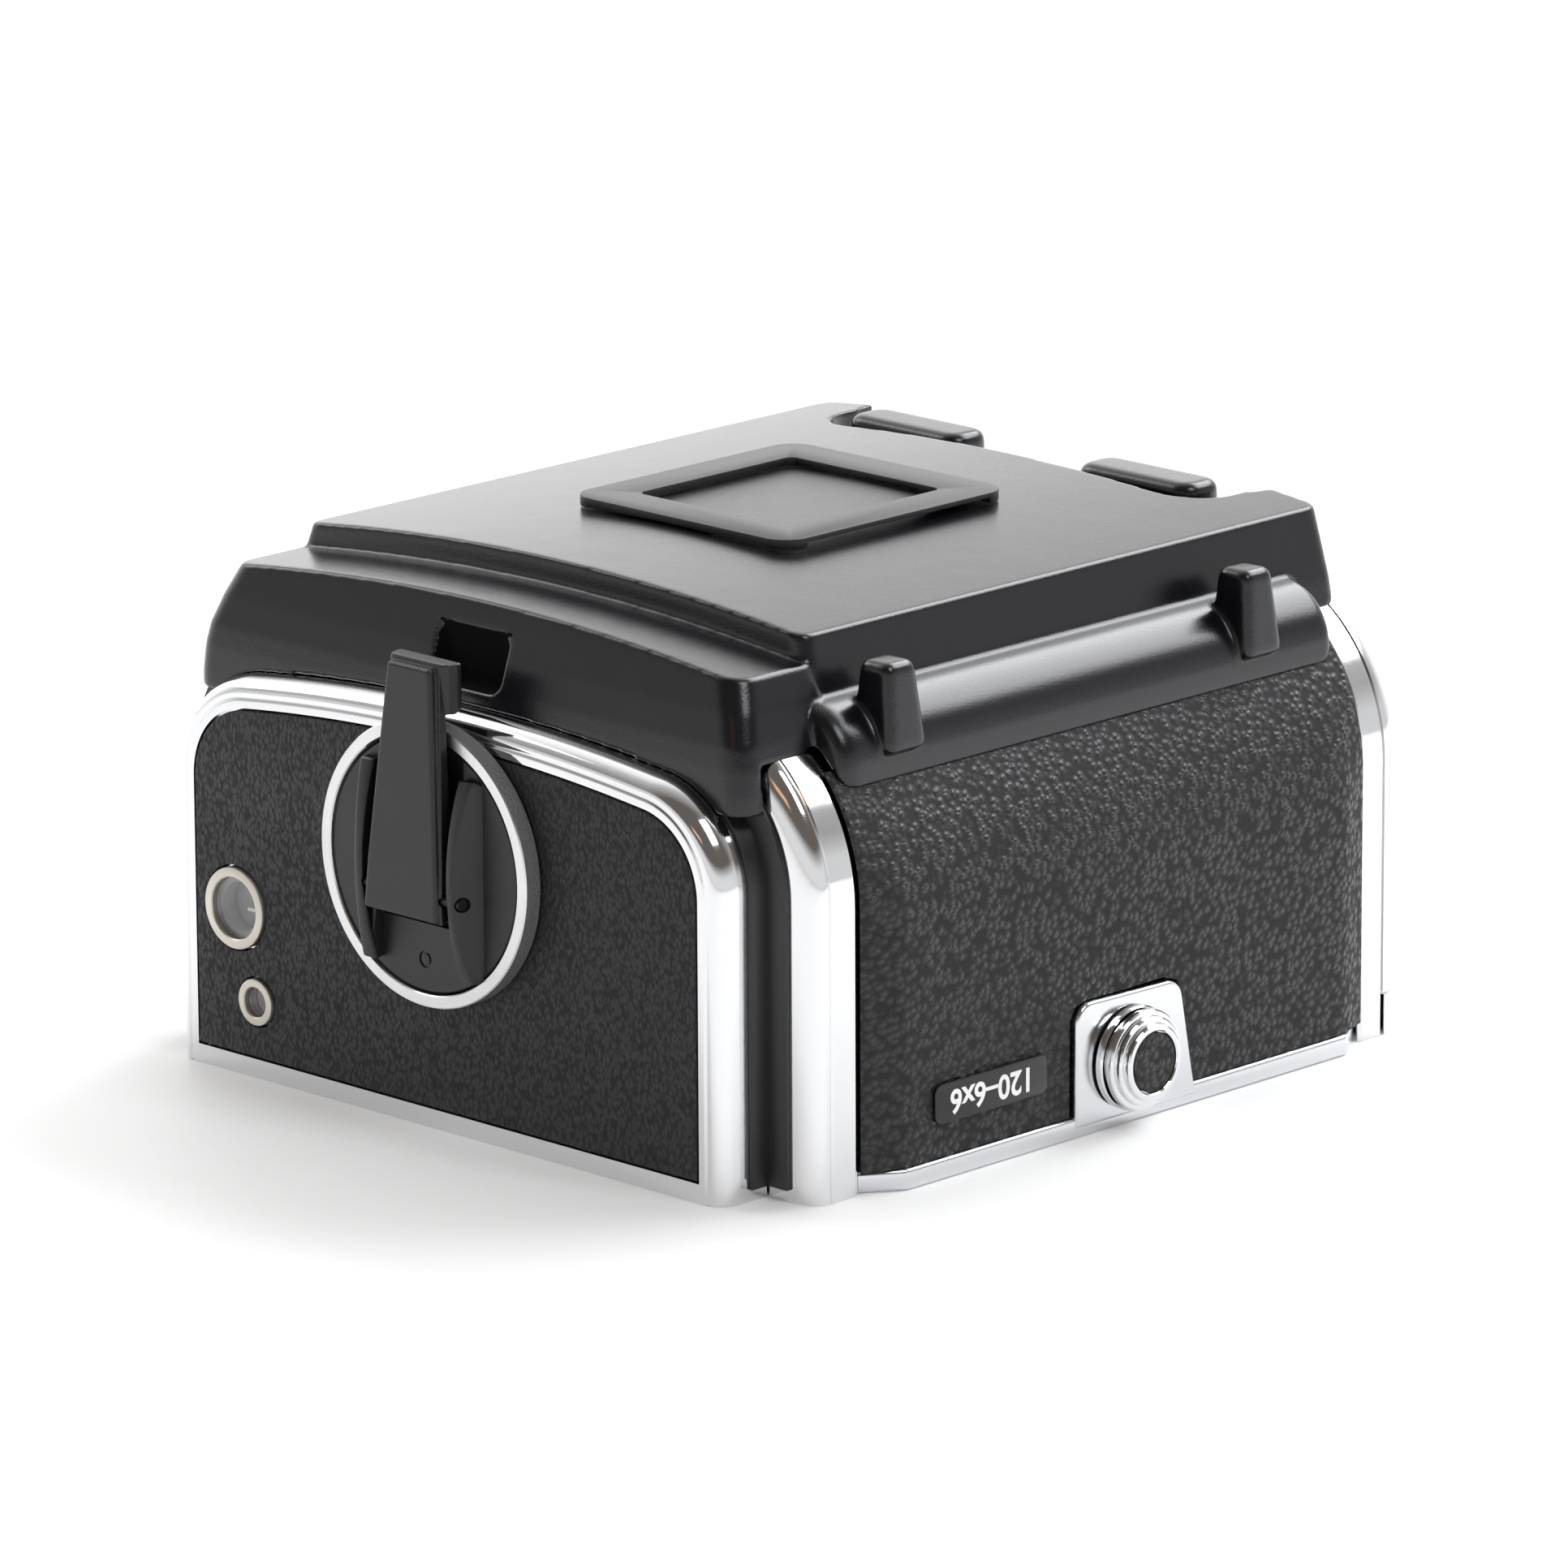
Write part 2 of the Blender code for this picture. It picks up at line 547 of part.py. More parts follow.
def cover_lower():
    outline = flanked(crowned(LOW_HALF, LOW_EDGE_Z, LOW_PEAK_Z), LOW_FOOT_X, LOW_FOOT_Z)
    body = slab("lower_tier", outline, "Y", LOW_FRONT_FOOT, TIER_FRONT + 1.0)
    lean = (LOW_FRONT_TOP - LOW_FRONT_FOOT) / (LOW_PEAK_Z - 41.0)
    wedge = [(LOW_FRONT_FOOT, 41.0), (LOW_FRONT_FOOT + lean * 20, 61.0), (-70, 61.0), (-70, 41.0)]
    cut(body, slab("front_lean", wedge, "X", -60, 60))
    return soften(body, 0.7, 2, 25)


def cover_ridge(side):
    profile = [(34.0, 45.6), (35.8, 45.3), (37.7, 43.9), (39.3, 42.2), (40.4, 41.2), (40.9, 39.6),
               (40.6, 38.7), (34.0, 38.7)]
    return slab("ridge", [(side * x, z) for x, z in profile], "Y", -41.8, 27.6)


def cover_lug(centre_y):
    profile = [(38.9, 49.0), (40.8, 48.9), (41.5, 48.0), (42.2, 41.6), (37.0, 41.0), (38.4, 45.0)]
    return slab("lug", profile, "Y", centre_y - 2.15, centre_y + 2.15)


def cover_bar(side):
    plan = rounded_box(min(side * 8.0, side * 23.6), max(side * 8.0, side * 23.6), 25.0, 30.6, 1.8, 3)
    return soften(slab("bar", plan, "Z", 47.5, 53.6), 0.9, 2)


def rear_cover():
    cover = join(cover_upper(), cover_lower(), cover_ridge(1), cover_ridge(-1), cover_lug(-34.5),
                 cover_lug(15.3))
    notch = [(27.8, 36), (27.3, 30.5), (26.6, 26.8), (25.4, 24.4), (23.4, 23.1), (20.5, 22.7)]
    notch += [(-x, y) for x, y in reversed(notch)]
    cut(cover, slab("notch", notch, "Z", 48.2, 60))
    body = slab("body_under", arch(RIM_HALF + GAP, -5, RIM_R + GAP, RIM_TOP + GAP), "Y",
                NEAR_FACE - GAP, 50)
    skin_under = slab("skin_under", arch(BULGE_HALF + GAP, -5, BULGE_R + GAP, BULGE_TOP + GAP), "Y",
                      RIM_NEAR - 0.1, RIM_FAR + 0.1)
    case = slab("case_under", arch(CASE_HALF + GAP, -5, CASE_R + GAP, CASE_TOP + GAP, CASE_CROWN + GAP),
                "Y", -70, NEAR_FACE - GAP + 0.01)
    below = box("below_tongue", (-60, -70, 0), (60, -40, LOW_FOOT_Z))
    pocket = box("slide_pocket", (-31, -37, 49.0), (31, 40, 50.2))
    recess = slab("knob_recess", rounded_box(-4.8, 4.8, 43.5, 49.2, 1.4), "Y", -60, -48.2)
    skin_edge = slab("skin_edge_under", arch(RIM_HALF + 0.9, -5, RIM_R + 0.9, RIM_TOP + 0.9), "Y",
                     RIM_NEAR - 0.1, RIM_FAR + 0.1)
    cut(cover, body, skin_under, skin_edge, case, below, pocket, recess)
    join(cover, cover_bar(1), cover_bar(-1))
    return smooth(cover, 30)


def memo_frame():
    def bowed(half_x, half_y, bow, radius, count=4):
        corners = rounded_box(-half_x, half_x, -half_y, half_y, radius, count)
        points = []
        for x, y in corners:
            grow_x = bow * (1 - (y / half_y) ** 2)
            grow_y = bow * (1 - (x / half_x) ** 2)
            points.append((x + math.copysign(grow_x, x), y + math.copysign(grow_y, y)))
        return points
    outer = shifted(bowed(MEMO_X / 2, MEMO_Y / 2, 0.8, 2.2), (0, MEMO_CENTRE_Y))
    frame = slab("memo_frame", outer, "Z", 53.0, MEMO_TOP, "black_plastic")
    inner = shifted(bowed(MEMO_HOLE_X / 2, MEMO_HOLE_Y / 2, 0.3, 1.0), (0, MEMO_CENTRE_Y))
    under = [(COVER_HALF, 50.0)] + crowned(COVER_HALF, COVER_EDGE_Z + GAP, COVER_PEAK_Z + GAP, 16)
    under += [(-COVER_HALF, 50.0)]
    slot = box("card_slot", (0, MEMO_CENTRE_Y - 13.0, 53.0), (20, MEMO_CENTRE_Y + 13.0, 54.45))
    return cut(frame, slab("hole", inner, "Z", 50, 60), slab("plate_under", under, "Y", -60, 60), slot)


# ---- windows and label ------------------------------------------------------------------------
def window_ring(name, centre, outer, bore):
    face, back = SKIN_FACE - 0.25, CASE_FLOOR - GAP
    ring = rod(name, "Y", face, back, centre, outer, "nickel", 32)
    return smooth(cut(ring, rod("bore", "Y", -60, -50, centre, bore, sides=32)))


def window_glass(name, centre, radius):
    return rod(name, "Y", -54.7, -53.7, centre, radius, "glass", 24)


def label_plate():
    plan = shifted(rounded_box(-7.8, 7.8, -1.95, 1.95, 0.6), (-27.0, 7.45))
    return slab("label_plate", plan, "X", BULGE_HALF + 0.05, BULGE_HALF + 0.4, "label")


def front_screw(name, x, y):
    head = rod(name, "Z", LEDGE_TOP + GAP, LEDGE_TOP + 1.3, (x, y), 1.3, "steel", 16)
    return cut(head, box("slot", (x - 2, y - 0.2, LEDGE_TOP + 0.9), (x + 2, y + 0.2, 5)))


# ---- crank -----------------------------------------------------------------------------------
def crank_ring():
    profile = [(RING_IN, -RING_FACE), (RING_R, -RING_FACE), (RING_R, 55.4), (RING_IN, 55.4), (RING_IN, -RING_FACE)]
    return ring_facing_out("crank_ring", profile, "chrome")


def ring_facing_out(name, profile, look):
    """Turned piece on the crank axis; heights are distances towards -Y."""
    laid = [(radius, -height) for radius, height in profile]
    return turned(name, laid, "Y", CRANK_AXIS, look, 48)


def crank_disc():
    disc = rod("crank_disc", "Y", DISC_FACE, DISC_BACK, CRANK_AXIS, DISC_R, "black_plastic", 48)
    reach = 9.9
    rise = FIN_TIP - FIN_FACE
    radius = (reach ** 2 + rise ** 2) / (2 * rise)
    angle = math.degrees(math.asin(reach / radius))
    bow = [(FIN_FACE + radius - radius * math.cos(math.radians(a)),
            CRANK_Z + radius * math.sin(math.radians(a)))
           for a in [angle - 2 * angle * i / 12 for i in range(13)]]
    outline = bow + [(DISC_FACE + 0.3, bow[-1][1]), (DISC_FACE + 0.3, bow[0][1])]
    fins = [slab("fin", outline, "X", side * FIN_X, side * (FIN_X + FIN_T)) for side in (-1, 1)]
    cut(disc, box("arm_channel", (-5.6, -60, 19.9), (5.6, DISC_FLOOR, 46)))
    join(disc, *fins)
    cut(disc, rod("pin_bore", "X", -10, 10, (HINGE_Y, HINGE_Z), PIN_R + 0.15, sides=16),
        rod("shaft_bore", "Y", -70, -50, CRANK_AXIS, SHAFT_R + 0.1, sides=24))
    return smooth(disc)


def crank_shaft():
    """Square-free stepped shaft: thin end in the bulkhead, flange under the disc."""
    profile = [(0.0, -NEAR_SEAM + 0.4), (SHAFT_R, -NEAR_SEAM + 0.4), (SHAFT_R, 53.6), (3.2, 53.6), (3.2, 55.1),
               (SHAFT_R, 55.1), (SHAFT_R, 55.95), (0.0, 55.95)]
    return ring_facing_out("crank_shaft", profile, "steel")


def toothed(name, teeth, module, level, centre, phase, bore, look="brass"):
    wheel = slab(name, shifted(gear_outline(teeth, module, phase), centre), "Y", level[0], level[1], look)
    return cut(wheel, rod("bore", "Y", -60, -40, centre, bore, sides=16))


def gears():
    main = toothed("crank_gear", CRANK_TEETH, MODULE_MAIN, LEVEL_MAIN, CRANK_AXIS, 0.0, SHAFT_R + 0.12)
    pinion = toothed("counter_pinion", PINION_TEETH, MODULE_COUNT, LEVEL_COUNT, CRANK_AXIS, 0.0,
                     SHAFT_R + 0.12)
    to_reverse = math.atan2(REVERSE_AXIS[1] - CRANK_Z, REVERSE_AXIS[0])
    reverse_phase = meshed_phase(0.0, CRANK_TEETH, to_reverse, REVERSE_TEETH)
    reverse = toothed("reverse_gear", REVERSE_TEETH, MODULE_MAIN, LEVEL_MAIN, REVERSE_AXIS, reverse_phase,
                      POST_BORE_R)
    to_takeup = math.atan2(TAKEUP_AXIS[1] - REVERSE_AXIS[1], TAKEUP_AXIS[0] - REVERSE_AXIS[0])
    takeup = toothed("takeup_gear", TAKEUP_TEETH, MODULE_MAIN, LEVEL_MAIN, TAKEUP_AXIS,
                     meshed_phase(reverse_phase, REVERSE_TEETH, to_takeup, TAKEUP_TEETH), SHAFT_R + 0.12)
    to_drive = math.atan2(DRIVE_AXIS[1] - CRANK_Z, DRIVE_AXIS[0])
    drive = toothed("drive_gear", DRIVE_TEETH, MODULE_MAIN, LEVEL_MAIN, DRIVE_AXIS,
                    meshed_phase(0.0, CRANK_TEETH, to_drive, DRIVE_TEETH), POST_BORE_R, "steel")
    to_idler = math.atan2(IDLER_AXIS[1] - CRANK_Z, IDLER_AXIS[0])
    idler_phase = meshed_phase(0.0, PINION_TEETH, to_idler, IDLER_TEETH)
    idler = slab("idler_gear", shifted(gear_outline(IDLER_TEETH, MODULE_COUNT, idler_phase), IDLER_AXIS),
                 "Y", LEVEL_COUNT[0], LEVEL_COUNT[1], "brass")
    small = slab("idler_pinion", shifted(gear_outline(IDLER_PINION_TEETH, MODULE_COUNT, idler_phase),
                                         IDLER_AXIS), "Y", LEVEL_DIAL[0], LEVEL_COUNT[0] + 0.1)
    join(idler, small)
    cut(idler, rod("bore", "Y", -60, -40, IDLER_AXIS, POST_BORE_R, sides=16))
    to_dial = math.atan2(DIAL_CENTRE[1] - IDLER_AXIS[1], DIAL_CENTRE[0] - IDLER_AXIS[0])
    dial = toothed("counter_dial", DIAL_TEETH, MODULE_COUNT, LEVEL_DIAL, DIAL_CENTRE,
                   meshed_phase(idler_phase, IDLER_PINION_TEETH, to_dial, DIAL_TEETH), POST_BORE_R,
                   "dial_face")
    return main, pinion, reverse, takeup, drive, idler, dial


def takeup_shaft():
    """Shaft through the bulkhead with the blade that turns the take-up spool."""
    shaft = rod("takeup_shaft", "Y", -50.9, -45.0, TAKEUP_AXIS, SHAFT_R, "steel", 24)
    x, z = TAKEUP_AXIS
    blade = box("blade", (x - 3.0, -45.3, z - 0.45), (x + 3.0, -39.2, z + 0.45))
    return join(shaft, blade)


def status_flag():
    x0, z0 = FLAG_PIVOT
    x1, z1 = STATUS_WINDOW
    length = math.hypot(x1 - x0, z1 - z0)
    angle = math.atan2(z1 - z0, x1 - x0)
    outline = circle((0, 0), 1.9, 16)[4:13] + circle((length, 0), 2.4, 16)[12:] + circle((length, 0), 2.4, 16)[:5]
    turned_outline = [(x0 + x * math.cos(angle) - z * math.sin(angle),
                       z0 + x * math.sin(angle) + z * math.cos(angle)) for x, z in outline]
    flag = slab("status_flag", turned_outline, "Y", FLAG_Y[0], FLAG_Y[1], "flag_red")
    return cut(flag, rod("bore", "Y", -60, -40, FLAG_PIVOT, POST_BORE_R, sides=16))


def crank_arm():
    """Tapered lever, thin at its hinged foot side view, with the knob block behind its tip."""
    def section(z, half, face, back):
        return [(half, face, z), (half, back, z), (-half, back, z), (-half, face, z)]
    back_foot = ARM_FACE_FOOT + ARM_T + 0.6
    loops = [section(ARM_FOOT_Z, ARM_HALF_FOOT, ARM_FACE_FOOT, back_foot - 0.7),
             section(ARM_FOOT_Z + 1.2, ARM_HALF_FOOT - 0.1, ARM_FACE_FOOT + 0.05, back_foot),
             section(ARM_FOOT_Z + 5.0, ARM_HALF_FOOT - 0.3, ARM_FACE_FOOT + 0.3, back_foot),
             section(ARM_TOP_Z, ARM_HALF_TOP, ARM_FACE_TOP, ARM_FACE_TOP + ARM_T)]
    arm = loft("crank_arm", loops, "black_plastic")
    plan = [(KNOB_HALF - 0.9, ARM_FACE_TOP + 0.9), (KNOB_HALF, ARM_FACE_TOP + 1.8), (KNOB_HALF, KNOB_END + 0.2),
            (KNOB_HALF - 0.3, KNOB_END)]
    plan += [(-x, y) for x, y in reversed(plan)]
    knob = slab("knob", plan, "Z", KNOB_FOOT_Z, ARM_TOP_Z - 0.1)
    join(arm, knob)
    return cut(arm, rod("bore", "X", -10, 10, (HINGE_Y, HINGE_Z), PIN_R + 0.15, sides=16))


def hinge_pin():
    return rod("crank_hinge_pin", "X", -FIN_X - FIN_T + 0.1, FIN_X + FIN_T - 0.1, (HINGE_Y, HINGE_Z), PIN_R,
               "steel", 16)


# ---- release button -----------------------------------------------------------------------------
def release_button():
    profile = [(0.0, BUTTON_BASE_X), (BUTTON_R, BUTTON_BASE_X), (BUTTON_R, 47.6), (4.3, 47.6), (4.3, 47.95),
               (BUTTON_R, 47.95), (BUTTON_R, 48.75), (4.45, 48.95), (4.45, 49.1), (3.9, 49.25), (3.6, BUTTON_FACE_X),
               (INLAY_R + GAP, BUTTON_FACE_X), (INLAY_R + GAP, 48.9), (0.0, 48.9)]
    button = turned("release_button", profile, "X", (OPTICAL_Y, BUTTON_Z), "chrome", 40)
    stem = rod("stem", "X", 43.0, BUTTON_BASE_X + 0.4, (OPTICAL_Y + STEM_Y, BUTTON_Z), 0.85, sides=16)
    return smooth(join(button, stem))


def button_inlay():
    return rod("button_inlay", "X", 49.2, BUTTON_FACE_X - 0.05, (OPTICAL_Y, BUTTON_Z), INLAY_R, "leatherette", 32)


def latch_slider():
    """Bar behind the tab that the button drags, with the hook that holds the camera."""
    y = OPTICAL_Y + STEM_Y
    bar = box("latch_slider", (41.9, y - 2.6, BUTTON_Z - 2.0), (42.7, y + 5.6, BUTTON_Z + 2.0), "steel")
    hook = box("hook", (37.6, y - 2.6, BUTTON_Z - 1.6), (42.2, y - 1.4, BUTTON_Z + 1.2))
    return join(bar, hook)


def coil(name, axis, centre, start, end, radius, turns, look="steel"):
    """Round-wire compression spring swept by hand: a hexagon carried along a helix."""
    place = {"X": lambda a, u, v: (a, u, v), "Y": lambda a, u, v: (u, a, v),
             "Z": lambda a, u, v: (u, v, a)}[axis]
    loops = []
    for i in range(int(turns * 10) + 1):
        angle = 2 * math.pi * i / 10
        along = start + (end - start) * i / (turns * 10)
        loop = []
        for k in range(6):
            bend = math.pi * k / 3
            reach = radius + SPRING_WIRE / 2 * math.cos(bend)
            u, v = centre[0] + reach * math.cos(angle), centre[1] + reach * math.sin(angle)
            loop.append(place(along + SPRING_WIRE / 2 * math.sin(bend), u, v))
        loops.append(loop)
    return loft(name, loops, look)


# ---- film insert ------------------------------------------------------------------------------------
def insert_frame():
    """U-shaped carrier: two side plates on a bridge above the pressure plate."""
    bridge = box("insert_frame", (-12.2, FRAME_NEAR, 13.0), (12.2, FRAME_FAR, 14.2), "black_anodised")
    side = arch(40.2, 8.5, 14.6, 42.8, corner=5)
    near = slab("near_side", side, "Y", FRAME_NEAR, FRAME_NEAR + 1.2)
    far = slab("far_side", side, "Y", FRAME_FAR - 1.2, FRAME_FAR)
    ties = [box("tie", (x - 2, FRAME_FAR - 0.5, 10.5), (x + 2, FAR_SEAM - 0.3, 13.5)) for x in (-30, 30)]
    join(bridge, near, far)
    bores = [rod("bore", "Y", FRAME_NEAR - 1, FRAME_NEAR + 2, (SPOOL_X, SPOOL_Z), 6.2),
             rod("bore", "Y", FRAME_NEAR - 1, FRAME_NEAR + 2, (-SPOOL_X, SPOOL_Z), 2.6),
             rod("bore", "Y", FRAME_FAR - 2, FRAME_FAR + 1, (SPOOL_X, SPOOL_Z), 2.6),
             rod("bore", "Y", FRAME_FAR - 2, FRAME_FAR + 1, (-SPOOL_X, SPOOL_Z), 2.6)]
    cut(bridge, *bores)
    return join(bridge, *ties)


def spool(name, axis, look):
    """Film spool: two flanges on a core with a slot across each end."""
    middle, half = OPTICAL_Y, SPOOL_HALF
    core, flange = 5.0, SPOOL_R
    profile = [(0.0, middle - half), (flange, middle - half), (flange, middle - half + 1.0),
               (core, middle - half + 1.0), (core, middle + half - 1.0), (flange, middle + half - 1.0),
               (flange, middle + half), (0.0, middle + half)]
    body = turned(name, profile, "Y", axis, look, 28)
    x, z = axis
    slots = [box("slot", (x - 3.6, y0, z - 0.7), (x + 3.6, y1, z + 0.7))
             for y0, y1 in ((middle - half - 1, middle - half + 4), (middle + half - 4, middle + half + 1))]
    return smooth(cut(body, *slots))


def spool_pin(name, x, y0, y1):
    """Spring-loaded pin that holds one end of a spool in the carrier."""
    return rod(name, "Y", y0, y1, (x, SPOOL_Z), 0.5, "steel", 12)


def pressure_plate():
    half = 30.5
    plan = rounded_box(-30.5, 30.5, OPTICAL_Y - half, OPTICAL_Y + half, 2.0)
    plate = slab("pressure_plate", plan, "Z", 6.4, 7.6, "black_anodised")
    lip = [box("lip", (side * 30.5 - 0.8, OPTICAL_Y - 25, 7.0), (side * 30.5 + 0.2 * side, OPTICAL_Y + 25, 9.2))
           for side in (1,)]
    return join(plate, *lip)


def plate_spring():
    """Bowed leaf between the bridge and the pressure plate."""
    rise, half = 4.2, 13.0
    line = [(half * (2 * i / 12 - 1), 12.5 - rise * (2 * i / 12 - 1) ** 2) for i in range(13)]
    outline = line + [(x, z - 0.4) for x, z in reversed(line)]
    return slab("plate_spring", shifted(outline, (0, 0)), "Y", OPTICAL_Y - 5, OPTICAL_Y + 5, "steel")


def guide_roller(name, side):
    return rod(name, "Y", OPTICAL_Y - 32.0, OPTICAL_Y + 32.0, (side * 35.6, 10.2), 2.2, "steel", 16)


def key_disc():
    disc = rod("key_disc", "Y", FAR_FACE - 1.7, KEY_FACE, (0, KEY_Z), KEY_R, "chrome", 40)
    groove = box("wing_groove", (-9.6, KEY_FACE - 0.9, KEY_Z - 2.0), (9.6, 40, KEY_Z + 2.0))
    cut(disc, groove)
    stem = rod("stem", "Y", 27.2, FAR_FACE - 1.5, (0, KEY_Z), 2.0, sides=20)
    return smooth(join(disc, stem))


def lock_bar():
    """Bar on the key's stem; a quarter turn brings its ends behind the shell's lip."""
    bar = slab("lock_bar", shifted(rounded_box(-15.0, 15.0, -2.6, 2.6, 2.0), (0, KEY_Z)), "Y", 28.0, 29.4, "steel")
    return cut(bar, rod("bore", "Y", 20, 40, (0, KEY_Z), 2.12, sides=20))


def key_wing():
    """Half-moon grip that folds flat over the key's disc."""
    outline = arc(0, KEY_Z, 9.0, 0, 180, 12)
    wing = slab("key_wing", outline, "Y", KEY_FACE + 0.3, WING_FACE, "chrome")
    barrel = box("barrel", (-8.6, KEY_FACE - 0.5, KEY_Z - 0.9), (8.6, WING_FACE - 0.1, KEY_Z + 0.9))
    return join(wing, barrel)


# ---- joints and assembly --------------------------------------------------------------------------
def axis_empty(name, place):
    """Empty on a joint's axis; the pieces that turn or slide there hang on it."""
    empty = bpy.data.objects.new(name, None)
    empty.location = Vector(place) * MM
    empty.empty_display_size = 0.004
    PARTS.objects.link(empty)
    return empty


def hang(parent, children):
    bpy.context.view_layer.update()
    for child in children:
        child.parent = parent
        child.matrix_parent_inverse = parent.matrix_world.inverted()


def build_body():
    pieces = [front_plate(), film_gate_frame(), slide_throat(), light_seal(), main_shell(), drive_bulkhead(),
              gear_case(), crank_side_skin(), side_skin("top_skin", 1), side_skin("bottom_skin", -1),
              corner_strip("corner_strip_top", 1), corner_strip("corner_strip_bottom", -1),
              rear_cover(), memo_frame(), label_plate(),
              window_ring("counter_window_ring", COUNTER_WINDOW, 4.1, 3.2),
              window_glass("counter_window_glass", COUNTER_WINDOW, 3.0),
              window_ring("status_window_ring", STATUS_WINDOW, 2.35, 1.6),
              window_glass("status_window_glass", STATUS_WINDOW, 1.4)]
    spots = [(-38.0, -40.0), (-38.0, 24.0), (38.0, -40.0), (38.0, 24.0)]
    pieces += [front_screw("front_screw_%d" % (i + 1), x, y) for i, (x, y) in enumerate(spots)]
    return pieces


def build_moving():
    main, pinion, reverse, takeup, drive, idler, dial = gears()
    crank = axis_empty("crank_axis", (CRANK_AXIS[0], DISC_FACE, CRANK_AXIS[1]))
    fold = axis_empty("crank_fold_axis", (0, HINGE_Y, HINGE_Z))
    hang(fold, [crank_arm()])
    hang(crank, [crank_ring(), crank_disc(), crank_shaft(), main, pinion, hinge_pin(), fold])
    groups = [crank]
    for name, centre, pieces in (("takeup_axis", TAKEUP_AXIS, [takeup, takeup_shaft()]),
                                 ("reverse_axis", REVERSE_AXIS, [reverse]),
                                 ("drive_axis", DRIVE_AXIS, [drive]), ("idler_axis", IDLER_AXIS, [idler]),
                                 ("dial_axis", DIAL_CENTRE, [dial]),
                                 ("flag_axis", FLAG_PIVOT, [status_flag()])):
        empty = axis_empty(name, (centre[0], LEVEL_MAIN[0], centre[1]))
        hang(empty, pieces)
        groups.append(empty)
    release = axis_empty("release_axis", (BUTTON_BASE_X, OPTICAL_Y, BUTTON_Z))
    hang(release, [release_button(), button_inlay(), latch_slider()])
    spring = coil("release_spring", "Y", (42.3, BUTTON_Z), OPTICAL_Y + 4.9, OPTICAL_Y + 12.6, 1.3, 6)
    groups += [release, spring]
    return groups


def build_insert():
    y = OPTICAL_Y
    insert = axis_empty("insert_slide_axis", (0, FAR_FACE, KEY_Z))
    key = axis_empty("key_axis", (0, KEY_FACE, KEY_Z))
    wing_axis = axis_empty("wing_axis", (0, WING_FACE - 0.7, KEY_Z))
    hang(wing_axis, [key_wing()])
    hang(key, [key_disc(), lock_bar(), wing_axis])
    spinning = []
    for name, centre, pieces in (
            ("takeup_spool_axis", TAKEUP_AXIS, [spool("takeup_spool", TAKEUP_AXIS, "black_plastic")]),
            ("supply_spool_axis", SUPPLY_AXIS, [spool("supply_spool", SUPPLY_AXIS, "black_plastic")]),
            ("top_roller_axis", (35.6, 10.2), [guide_roller("guide_roller_top", 1)]),
            ("bottom_roller_axis", (-35.6, 10.2), [guide_roller("guide_roller_bottom", -1)])):
        empty = axis_empty(name, (centre[0], y, centre[1]))
        hang(empty, pieces)
        spinning.append(empty)
    plate_axis = axis_empty("pressure_axis", (0, y, 7.0))
    hang(plate_axis, [pressure_plate()])
    hang(insert, [insert_end_plate(), insert_skin(), insert_frame(), plate_spring(), key, plate_axis] + spinning)
    return [insert]


clear_scene()
PARTS, CUTTERS = make_collections()
everything = build_body() + build_moving() + build_insert()
frame = axis_empty("magazine_frame", (0, 0, 0))
hang(frame, everything)
frame.location = FRAME_SHIFT
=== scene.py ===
"""Looks for the roll-film magazine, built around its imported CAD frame.

Everything is modelled in millimetres in the magazine's working frame (X = 0 in the
body's middle, -Y the crank side, Z = 0 the camera-side face) and moved into place by
an offset that is read from the frame's own boxes.
"""
import json
import math

import bpy
import bmesh
from mathutils import Matrix, Vector


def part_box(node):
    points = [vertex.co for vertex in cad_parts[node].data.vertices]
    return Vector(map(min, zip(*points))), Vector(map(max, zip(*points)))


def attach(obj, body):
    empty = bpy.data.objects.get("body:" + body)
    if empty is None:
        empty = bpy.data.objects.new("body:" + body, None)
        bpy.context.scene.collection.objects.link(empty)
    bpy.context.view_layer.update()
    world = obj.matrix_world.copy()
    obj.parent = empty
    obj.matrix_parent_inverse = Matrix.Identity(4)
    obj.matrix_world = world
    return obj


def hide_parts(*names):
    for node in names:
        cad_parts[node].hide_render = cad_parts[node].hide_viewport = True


MM = 0.001
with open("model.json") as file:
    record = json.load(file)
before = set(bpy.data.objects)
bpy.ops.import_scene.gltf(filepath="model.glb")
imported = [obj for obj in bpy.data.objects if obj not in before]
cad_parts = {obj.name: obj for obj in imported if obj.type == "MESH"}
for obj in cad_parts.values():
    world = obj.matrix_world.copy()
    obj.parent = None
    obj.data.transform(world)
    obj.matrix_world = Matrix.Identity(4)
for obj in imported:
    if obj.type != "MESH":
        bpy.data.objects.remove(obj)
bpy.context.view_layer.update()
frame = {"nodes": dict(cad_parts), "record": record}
NODES = frame["nodes"]


# ---- sizes in millimetres -------------------------------------------------------------
# Arches are given by their half width, corner radius, top height and crown radius.
RIM_HALF, RIM_R, RIM_TOP = 43.7, 18.0, 46.1
BULGE_HALF, BULGE_R, BULGE_TOP = 45.6, 22.0, 46.9
NEAR_SEAM, FAR_SEAM = -46.6, 31.8
NEAR_FACE, FAR_FACE = -48.8, 35.3
RIM_NEAR, RIM_FAR = -42.9, 28.4
SHELL_WALL = 2
END_FOOT, END_RIM, END_RECESS = 4.4, 3.8, 0.8
BEND_NEAR, BEND_FAR = -38.5, 24.0
LEDGE_HALF, LEDGE_TOP = 46.0, 2.1
CASE_HALF, CASE_R, CASE_TOP, CASE_CROWN = 37.6, 11.0, 41.8, 231.0
CASE_FACE, CASE_BACK, CASE_FLOOR, CASE_INSIDE = -55.0, -49.0, -54.2, -53.4
STRIP_FOOT, STRIP_TOP, STRIP_NEAR = 1.2, 39.2, -51.3
